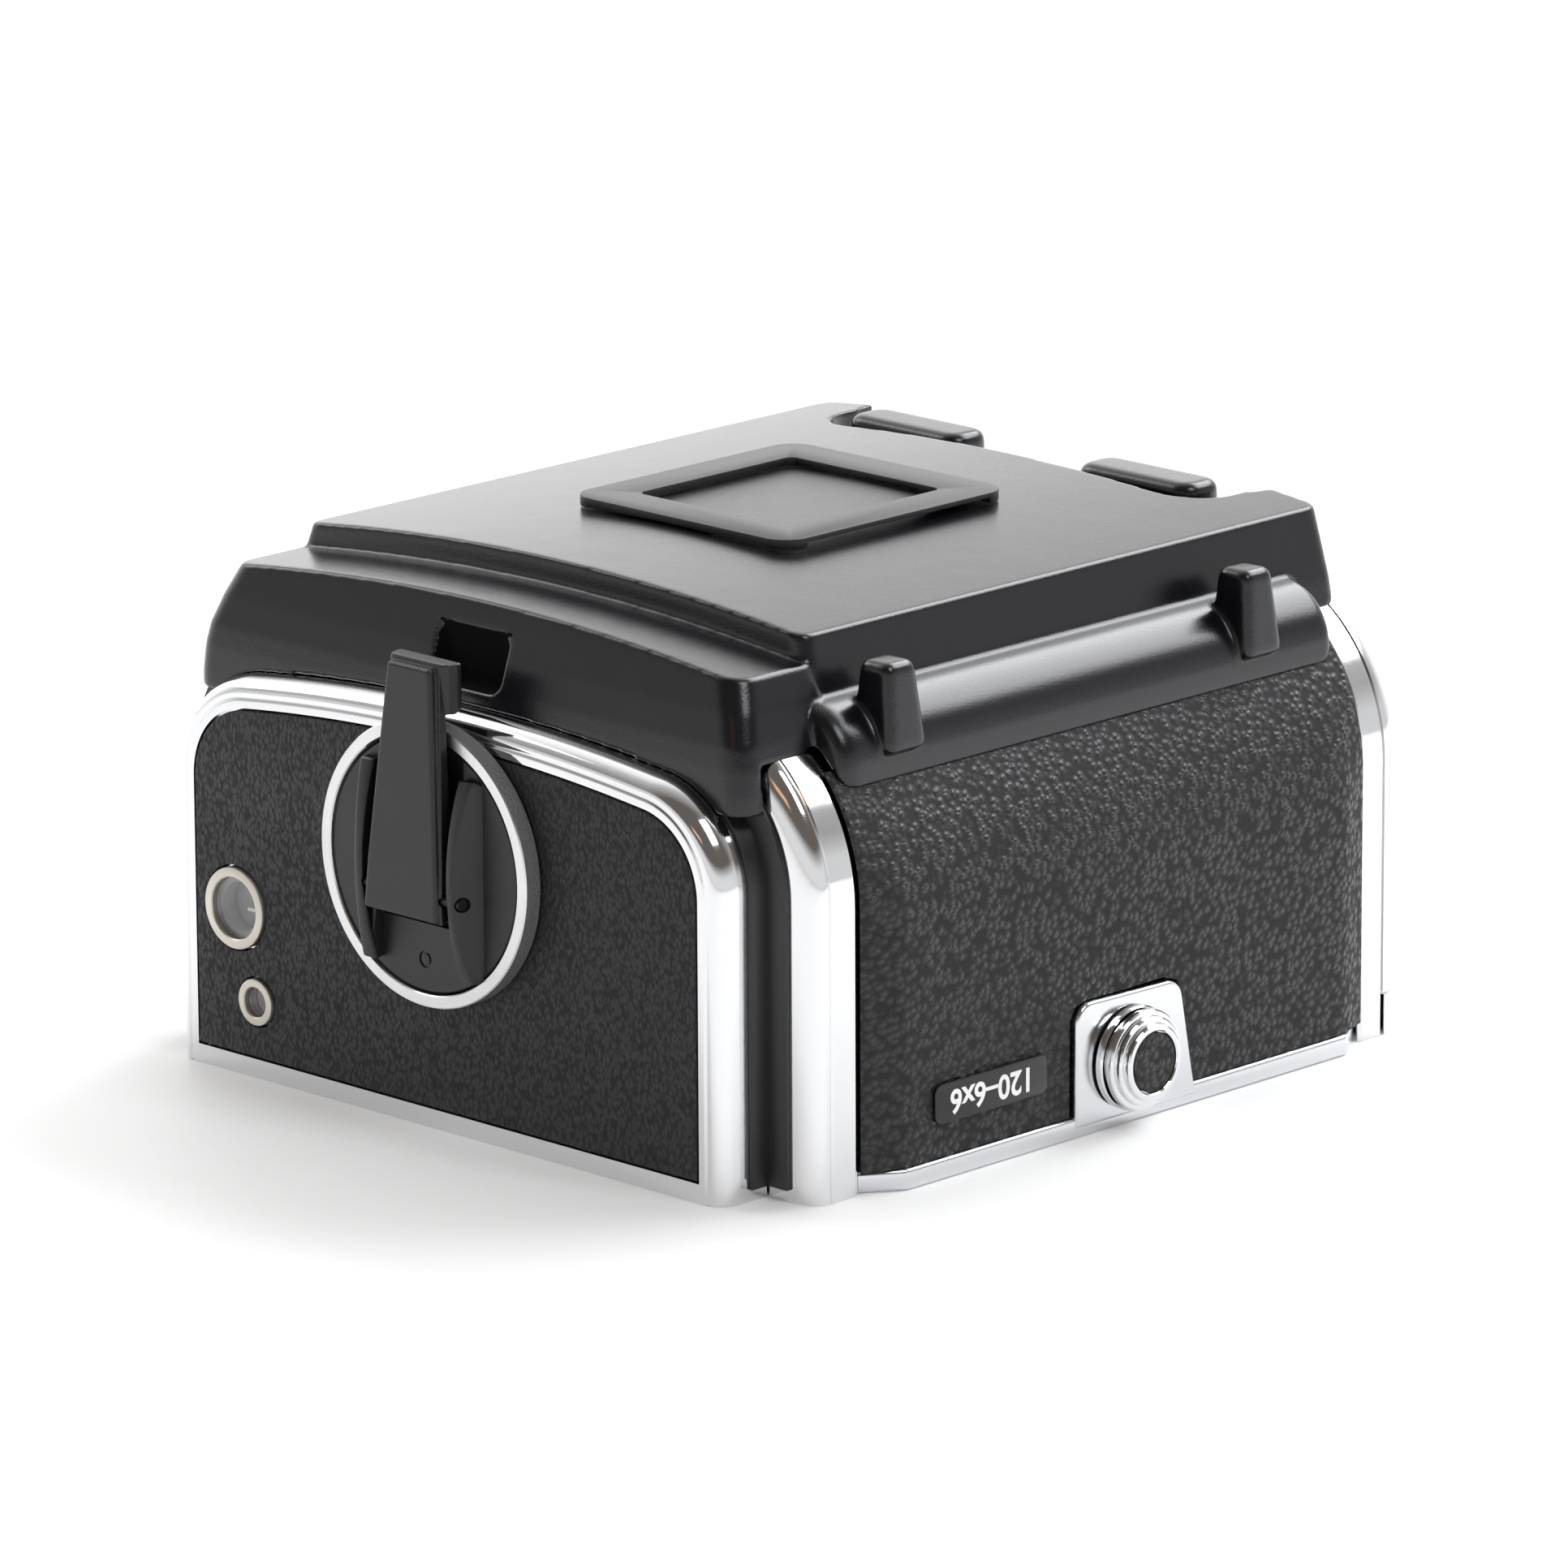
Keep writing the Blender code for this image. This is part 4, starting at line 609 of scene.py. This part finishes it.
# ---- rear cover -----------------------------------------------------------------------
def casting_block(name, rows, far, corner, crown):
    """Sloped block of (z, half width, near face) rows with rounded corners and a crowned top."""
    loops = []
    for z, half, near in rows:
        loops.append([(x, y, z) for x, y in rounded_box(-half, half, near, far, corner, 8)])
    block = loft(name, loops)
    brim = crown[0][1]
    lid = slab("lid", [(60, 20), (60, brim)] + crown + [(-60, brim), (-60, 20)], "Y", -80, 60)
    return combine(block, [lid], "INTERSECT")


def ridge(side):
    """Convex roll along the foot of the cover, closed by a rounded end near the crank."""
    profile = [(33.0, 46.4)] + arc(34.9, 40.2, 6.15, 84, -16, 30) + [(40.2, 38.2), (33.0, 38.2)]
    ends = ((-41.9, 0.82), (-41.75, 0.88), (-41.4, 0.94), (-40.9, 0.975), (-40.3, 0.993), (-39.6, 1.0),
            (26.2, 1.0), (26.8, 0.97), (27.1, 0.90))
    root_x, root_z = 34.0, 39.0
    loops = []
    for y, scale in ends:
        shrunk = [(root_x + (x - root_x) * scale, root_z + (z - root_z) * scale) for x, z in profile]
        loops.append([(side * x, y, z) for x, z in shrunk])
    return loft("ridge", loops)


def lug(y):
    """Upright hook on the ridge, narrower at its top."""
    low = [(36.6, y - 2.7), (42.3, y - 2.7), (42.3, y + 2.7), (36.6, y + 2.7)]
    high = [(37.4, y - 2.1), (41.4, y - 2.1), (41.4, y + 1.9), (37.4, y + 1.9)]
    loops = [[(a, b, 41.2) for a, b in low], [(a, b, 49.9) for a, b in high]]
    return soften(loft("lug", loops), 0.9, 4)


def under_body(grow, half, radius, top, near, far, crown=None):
    """Cutter that clears the cover's underside from an arch of the body."""
    crown_here = crown + grow if crown else None
    outline = arch(half + grow, -5, radius + grow, top + grow, crown_here)
    return slab("under", outline, "Y", near, far)


def paint_pocket_shade(cover):
    """Gives the faces inside the cover's pocket a second, near-black and nearly unreflective material:
    painted shade in the recess.
    """
    # painted shade: the pocket's inner faces get the felt material in place of the cover's paint
    cover.data.materials.append(LOOKS["felt"])
    for face in cover.data.polygons:
        x, y, z = (face.center - OFFSET) / MM
        across = abs(x) < POCKET_HALF + 0.1 and POCKET_LOW - 0.1 < z < POCKET_HIGH + 0.1
        inside = across and -51.3 < y < -49.0
        wall = face.normal.y > -0.75 or y > TIER_FACE - 0.2
        face.material_index = 1 if inside and wall else 0


def rear_cover():
    """Casting made from a few solids, then relaxed so every edge and foot is rounded."""
    upper_rows = [(38.5, 37.2, -41.2), (45.2, 35.9, -40.9), (52.1, 33.75, -40.15), (56.0, 32.7, -39.9)]
    lower_rows = [(34.0, 37.7, -52.1), (39.0, 37.65, -52.05), (41.5, 37.4, -51.9), (43.6, 36.95, -51.6),
                  (46.5, 35.9, -50.7), (49.5, 34.5, TIER_FACE), (54.0, 32.2, -47.9)]
    upper = casting_block("rear_cover", upper_rows, 33.2, 1.6, crowned(33.75, 52.05, 54.05))
    lower = casting_block("lower", lower_rows, -38.0, 2.5, crowned(34.5, 49.5, 51.45))
    ridges = [ridge(side) for side in (1, -1)]
    join(upper, lower, *ridges, *[lug(y) for y in LUG_PLACES])
    notch = [(27.8, 36)] + arc(20.6, 28.6, 5.9, 10, -90, 10)
    cut(upper, slab("notch", notch + mirrored(notch[::-1], -1), "Z", 48.2, 60))
    body = under_body(-0.12, RIM_HALF, RIM_R, RIM_TOP, NEAR_FACE - 0.3, 50)
    skin = under_body(-0.1, BULGE_HALF, BULGE_R, BULGE_TOP, RIM_NEAR, RIM_FAR)
    hem = under_body(0.3, RIM_HALF, RIM_R, RIM_TOP, RIM_NEAR, RIM_FAR)
    case = under_body(-0.02, CASE_HALF, CASE_R, CASE_TOP, -70, NEAR_FACE - 0.29, CASE_CROWN)
    below = box("below", (-60, -70, 0), (60, -40, 37.2))
    pocket = rounded_box(-POCKET_HALF, POCKET_HALF, POCKET_LOW, POCKET_HIGH, 1.4)
    cut(upper, body, skin, hem, case, below, slab("recess", pocket, "Y", -60, TIER_FACE))
    bars = []
    for start, end in (BAR_X, (-BAR_X[1], -BAR_X[0])):
        bars.append(soften(slab("bar", rounded_box(start, end, *BAR_Y, 2.0), "Z", *BAR_Z), 1.1, 4))
    join(upper, *bars)
    cast(upper, COVER_VOXEL, COVER_ROUNDS, "black_paint")
    # painted shade inside the cover's pocket
    paint_pocket_shade(upper)
    return stands_for(upper, "body", "rear_cover")


def memo_frame():
    """Frame with slightly bowed sides that follows the crown of the cover."""
    def bowed(half_x, half_y, bow, radius):
        points = []
        for x, y in rounded_box(-half_x, half_x, -half_y, half_y, radius, 10):
            grow_x = bow * (1 - (y / half_y) ** 2)
            grow_y = bow * (1 - (x / half_x) ** 2)
            points.append((x + math.copysign(grow_x, x), y + math.copysign(grow_y, y)))
        return shifted(points, (0, MEMO_CENTRE_Y))
    plate = slab("memo_frame", bowed(MEMO_HALF_X, MEMO_HALF_Y, 0.6, 2.4), "Z", 52.9, MEMO_FACE, "memo")
    hole = slab("hole", bowed(MEMO_HOLE_X, MEMO_HOLE_Y, 0.3, 0.8), "Z", 50, 60)
    under = slab("under", flanked(crowned(33.6, 52.25, 54.25), 34, 51.5, 1.0), "Y", -60, 60)
    slot = box("slot", (0, MEMO_CENTRE_Y - 12.8, 52.0), (20, MEMO_CENTRE_Y + 12.8, MEMO_FACE - 0.5))
    cut(plate, hole, under, slot)
    return stands_for(soften(plate, 0.22, 2, 50), "body", "memo_frame")


def memo_backing():
    """Thin card under the frame's opening, following the crown of the cover."""
    crown = crowned(10.1, 53.97, 54.15, 16)
    outline = crown + [(x, z - 0.06) for x, z in crown[::-1]]
    near, far = MEMO_CENTRE_Y - 10.6, MEMO_CENTRE_Y + 10.6
    card = slab("memo_backing", outline, "Y", near, far, "memo_card")
    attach(card, "body")


# ---- windows and label ----------------------------------------------------------------
def window_ring(name, centre, outer, bore):
    face, back = -55.42, -54.5
    profile = [(bore, back), (bore, face + 0.12), (bore + 0.1, face), (outer - 0.14, face),
               (outer - 0.04, face + 0.05), (outer, face + 0.16), (outer, back)]
    return stands_for(turned(name, profile, "Y", centre, "nickel"), "body", name)


def window_glass(name, centre, radius):
    return stands_for(rod(name, "Y", GLASS_FACE, GLASS_BACK, centre, radius, "glass"), "body", name)


def label():
    """Gloss plate with the film's format, which reads upright from behind a camera."""
    plan = shifted(rounded_box(-7.75, 7.75, -1.95, 1.95, 0.9), (LABEL_Y, LABEL_Z))
    plate = slab("label_plate", plan, "X", LABEL_BACK, LABEL_FACE, "label_black")
    soften(plate, 0.08, 2, 60)
    stands_for(plate, "body", "label_plate")
    words = bpy.data.curves.new("label_words", "FONT")
    words.body = "120–6x6"
    words.size = 3.3 * MM
    words.extrude = 0.02 * MM
    words.offset = 0.07 * MM
    words.align_x = "CENTER"
    words.align_y = "CENTER"
    words.materials.append(LOOKS["white"])
    text = bpy.data.objects.new("label_words", words)
    bpy.context.scene.collection.objects.link(text)
    turn = Matrix(((0, 0, 1), (-1, 0, 0), (0, -1, 0)))
    place = OFFSET + Vector((LABEL_FACE + 0.03, LABEL_Y, LABEL_Z + 0.05)) * MM
    text.matrix_world = Matrix.Translation(place) @ turn.to_4x4()
    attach(text, "body")


def counter_marks():
    """Small faces behind the two windows, each on the body that carries it."""
    line = box("counter_index", (-27.8, -54.2, 16.6), (-25.9, -54.1, 16.95), "white")
    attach(line, "body")
    bezel = [(2.3, -52.75), (2.3, -53.6), (2.5, -54.1), (3.1, -54.22), (3.1, -52.75)]
    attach(turned("counter_bezel", bezel, "Y", COUNTER_WINDOW, "bezel"), "body")
    flag_low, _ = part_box("status_flag")
    front = flag_low[1] / MM - OFFSET.y / MM
    field = rod("status_flag_clear_field", "Y", front - 0.08, front - 0.03, STATUS_WINDOW, 1.75, "bezel")
    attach(field, "status_flag")
    profile = [(1.2, -52.4), (9.8, -52.4), (9.8, -52.55), (1.2, -52.55)]
    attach(turned("counter_dial_face", profile, "Y", DIAL_CENTRE, "dial_face"), "counter_dial")


# ---- crank ----------------------------------------------------------------------------
def crank_ring():
    """Bright flat face on a knurled wall."""
    profile = [(RING_IN, DISC_BACK), (RING_IN, RING_FACE + 0.12), (RING_IN + 0.12, RING_FACE),
               (RING_R - 0.12, RING_FACE), (RING_R, RING_FACE + 0.12), (RING_R, DISC_BACK)]
    ring = turned("crank_ring", profile, "Y", (0, CRANK_Z), "ring_face", 160)
    ring.data.materials.append(LOOKS["knurl"])
    for face in ring.data.polygons:
        centre = face.center - OFFSET
        flat = abs(face.normal.y) > 0.5 and centre.y < (RING_FACE + 0.3) * MM
        face.material_index = 0 if flat else 1
    return stands_for(ring, "crank", "crank_ring")


def fin_outline():
    """Bowed front edge of a fin and its foot in the disc, as (y, z) points."""
    reach, rise = 10.0, 1.9
    radius = (reach ** 2 + rise ** 2) / (2 * rise)
    half_angle = math.asin(reach / radius)
    bow = []
    for i in range(41):
        a = half_angle - 2 * half_angle * i / 40
        bow.append((FIN_TIP_Y + radius - radius * math.cos(a), CRANK_Z - 0.4 + radius * math.sin(a)))
    foot = DISC_FACE + 0.3
    return bow + [(foot, bow[-1][1] + 0.3), (foot, bow[0][1] - 0.3)]


def fin(side):
    """Fin beside the arm, wider at its foot."""
    slope = FIN_SPREAD / (DISC_FACE - FIN_TIP_Y)
    outline = fin_outline()
    inner = [(side * FIN_INNER_X, y, z) for y, z in outline]
    outer = [(side * (FIN_OUTER_X + slope * (y - FIN_TIP_Y)), y, z) for y, z in outline]
    return soften(loft("fin", [inner, outer] if side > 0 else [outer, inner]), 0.3, 3, 50)


def crank_disc():
    profile = [(0, DISC_BACK), (DISC_R, DISC_BACK), (DISC_R, DISC_FACE + 0.15), (DISC_R - 0.15, DISC_FACE),
               (0, DISC_FACE)]
    disc = turned("crank_disc", profile, "Y", (0, CRANK_Z), "black_plastic", 128)
    fins = [fin(1), fin(-1)]
    channel = soften(box("channel", (-5.6, -62, 21.2), (5.6, DISC_FLOOR, 46)), 0.3, 3)
    mark = [(0.55, -57.4), (0.85, -57.4), (0.85, -56.95), (0.55, -56.95)]
    cut(disc, channel, turned("mark", mark, "Y", (0, 17.6), None, 32))
    join(disc, *fins)
    pin_bore = rod("bore", "X", -10, 10, (HINGE_Y, HINGE_Z), HINGE_BORE, None, 32)
    cut(disc, rod("bore", "Y", -70, -50, (0, CRANK_Z), SHAFT_BORE), pin_bore)
    return stands_for(smooth(disc, 30), "crank", "crank_disc")


def crank_arm():
    """Tapered lever with a raised front and a knob at its tip."""
    def section(z, low, high, face, back):
        return [(high, face, z), (high, back, z), (low, back, z), (low, face, z)]
    plate = [section(22.4, -5.2, 5.1, -59.7, -59.1), section(23.6, -5.2, 5.1, -59.8, -58.45),
             section(27.4, -4.9, 4.9, -59.5, -58.1), section(47.4, -3.1, 3.3, -58.0, -57.3)]
    arm = loft("crank_arm", plate, "black_plastic")
    front = [section(22.5, -5.2, 4.9, -60.3, -59.3), section(27.4, -4.9, 4.6, -60.05, -58.9),
             section(46.9, -3.0, 2.9, -58.85, -57.6)]
    raised = soften(loft("raised", front), 0.4, 4, 30)
    plan = [(3.4, -57.9), (3.9, -57.3), (4.2, -56.4), (4.25, -55.95), (4.0, -55.72)]
    plan += mirrored(plan[::-1], -1)
    knob = soften(slab("knob", plan, "Z", 42.4, 47.3), 0.3, 3, 30)
    cut(knob, rod("hollow", "X", -10, 10, (-55.4, 41.2), 1.7))
    join(arm, knob, raised)
    cut(arm, rod("bore", "X", -10, 10, (HINGE_Y, HINGE_Z), HINGE_BORE, None, 32))
    cast(arm, ARM_VOXEL, ARM_ROUNDS, "black_plastic")
    return stands_for(arm, "crank_arm", "crank_arm")


# ---- release button -------------------------------------------------------------------
def release_button():
    """Stepped button: three flanges that narrow towards a rim round the inlay."""
    base = [(0.0, 46.5), (5.1, 46.5), (5.15, 46.65), (5.15, 47.1), (5.0, 47.3), (4.55, 47.3)]
    flange = [(4.5, 47.15), (4.35, 47.15), (4.35, 47.6), (4.85, 47.62), (4.98, 47.75), (4.98, 48.25)]
    step = [(4.85, 48.42), (4.45, 48.45), (4.38, 48.6), (4.38, 48.85), (4.25, 49.0), (3.85, 49.02)]
    rim = [(3.78, 49.15), (3.75, 49.4), (3.6, 49.55), (3.2, 49.58), (3.08, 49.45), (3.05, 48.9)]
    profile = base + flange + step + rim + [(0.0, 48.9)]
    button = turned("release_button", profile, "X", (BUTTON_Y, BUTTON_Z), "chrome", 128)
    return stands_for(button, "release", "release_button")


def button_inlay():
    profile = [(0.0, 48.95), (INLAY_R, 48.95), (INLAY_R, 49.4), (INLAY_R - 0.15, 49.52), (0.0, 49.56)]
    inlay = turned("button_inlay", profile, "X", (BUTTON_Y, BUTTON_Z), "leatherette", 64)
    return stands_for(inlay, "release", "button_inlay")


# ---- carried CAD nodes, set, light and camera -----------------------------------------
def dress_carried():
    """Every CAD node gets the look of its record's slot; the hinge pin is blackened."""
    looks = {entry["node"]: entry["material_slot"] for entry in frame["record"]["subparts"]}
    looks["crank_hinge_pin"] = "black_plastic"
    for name, obj in NODES.items():
        obj.data.materials.clear()
        obj.data.materials.append(LOOKS[looks[name]])


def add_stage():
    bm = bmesh.new()
    bmesh.ops.create_grid(bm, x_segments=1, y_segments=1, size=4000)
    floor = add_mesh("floor", bm)
    floor.location.z = -0.02 * MM
    paper = new_material("paper", (0.88, 0.88, 0.88), 0.6, Emission_Color=(1.0, 1.0, 1.0, 1.0),
                         Emission_Strength=0.12)
    floor.data.materials.append(paper)


def area_light(name, place, size, power, colour=(1, 1, 1)):
    data = bpy.data.lights.new(name, "AREA")
    data.shape = "RECTANGLE"
    data.size, data.size_y = size
    data.energy = power
    data.color = colour
    lamp = bpy.data.objects.new(name, data)
    lamp.location = place
    lamp.rotation_euler = (Vector(LIGHT_AIM) - Vector(place)).to_track_quat("-Z", "Y").to_euler()
    bpy.context.scene.collection.objects.link(lamp)


def add_world():
    """White sweep all round, brightest behind the object, under a dim ceiling on the camera's side."""
    world = bpy.data.worlds.new("studio")
    bpy.context.scene.world = world
    world.use_nodes = True
    tree = world.node_tree
    coords = tree.nodes.new("ShaderNodeTexCoord")
    toward = node(tree, "ShaderNodeVectorMath", operation="DOT_PRODUCT")
    toward.inputs[1].default_value = TOWARD_CAMERA
    tree.links.new(coords.outputs["Generated"], toward.inputs[0])
    split = tree.nodes.new("ShaderNodeSeparateXYZ")
    tree.links.new(coords.outputs["Generated"], split.inputs[0])
    facing = node(tree, "ShaderNodeMapRange")
    for socket, value in (("From Min", -1.0), ("From Max", 1.0)):
        facing.inputs[socket].default_value = value
    tree.links.new(toward.outputs["Value"], facing.inputs["Value"])
    high = ramp(tree, split.outputs["Z"], [(0.16, 0.0), (0.34, 1.0)])
    room = ramp(tree, facing.outputs["Result"], [(0.30, 0.0), (0.62, 1.0)])
    dim = node(tree, "ShaderNodeMath", operation="MULTIPLY")
    tree.links.new(high, dim.inputs[0])
    tree.links.new(room, dim.inputs[1])
    levels = [(0.0, SWEEP_BACK), (0.40, SWEEP_SIDE), (0.75, SWEEP_FRONT)]
    sweep = ramp(tree, facing.outputs["Result"], levels)
    mix = node(tree, "ShaderNodeMix", data_type="RGBA")
    tree.links.new(dim.outputs[0], mix.inputs["Factor"])
    tree.links.new(sweep, mix.inputs[6])
    mix.inputs[7].default_value = (*CEILING_COLOUR, 1.0)
    background = tree.nodes["Background"]
    tree.links.new(mix.outputs[2], background.inputs["Color"])
    background.inputs["Strength"].default_value = SWEEP_STRENGTH


def add_lights():
    area_light("back softbox", (0.12, 0.84, 0.86), (1.1, 0.5), 13.0, COOL)
    area_light("right softbox", (0.74, -0.02, 0.96), (0.45, 0.5), 4.6, COOL)
    area_light("left softbox", (-0.95, -0.25, 0.75), (0.5, 0.5), 3.0)
    area_light("warm card", (0.30, -0.98, 0.62), (0.35, 0.12), 0.12, WARM)


def camera_axes(azimuth, elevation, roll):
    """Right, up and backward directions of a camera at these angles."""
    a, e, t = math.radians(azimuth), math.radians(elevation), math.radians(roll)
    back = Vector((math.sin(a) * math.cos(e), -math.cos(a) * math.cos(e), math.sin(e)))
    right = Vector((math.cos(a), math.sin(a), 0.0))
    up = back.cross(right)
    return right * math.cos(t) + up * math.sin(t), up * math.cos(t) - right * math.sin(t), back


def add_camera():
    data = bpy.data.cameras.new("camera")
    data.sensor_width = 36.0
    data.lens = CAMERA_LENS
    data.clip_end = 50.0
    camera = bpy.data.objects.new("camera", data)
    right, up, back = camera_axes(CAMERA_AZIMUTH, CAMERA_ELEVATION, CAMERA_ROLL)
    turn = Matrix((right, up, back)).transposed().to_4x4()
    place = OFFSET + Vector(CAMERA_TARGET) * MM + back * CAMERA_DISTANCE
    camera.matrix_world = Matrix.Translation(place) @ turn
    bpy.context.scene.collection.objects.link(camera)
    bpy.context.scene.camera = camera


dress_carried()
gear_case()
drive_bulkhead()
main_shell()
insert_end_plate()
front_plate()
side_skin("top_skin", 1)
side_skin("bottom_skin", -1)
crank_side_skin()
rear_cover()
memo_frame()
memo_backing()
window_ring("counter_window_ring", COUNTER_WINDOW, 4.1, 3.1)
window_ring("status_window_ring", STATUS_WINDOW, 2.35, 1.5)
window_glass("counter_window_glass", COUNTER_WINDOW, 3.05)
window_glass("status_window_glass", STATUS_WINDOW, 1.45)
counter_marks()
groove_strip("corner_strip_top", 1)
groove_strip("corner_strip_bottom", -1)
label()
crank_ring()
crank_disc()
crank_arm()
release_button()
button_inlay()
add_stage()
add_world()
add_lights()
add_camera()
bpy.context.scene.view_settings.view_transform = "Standard"
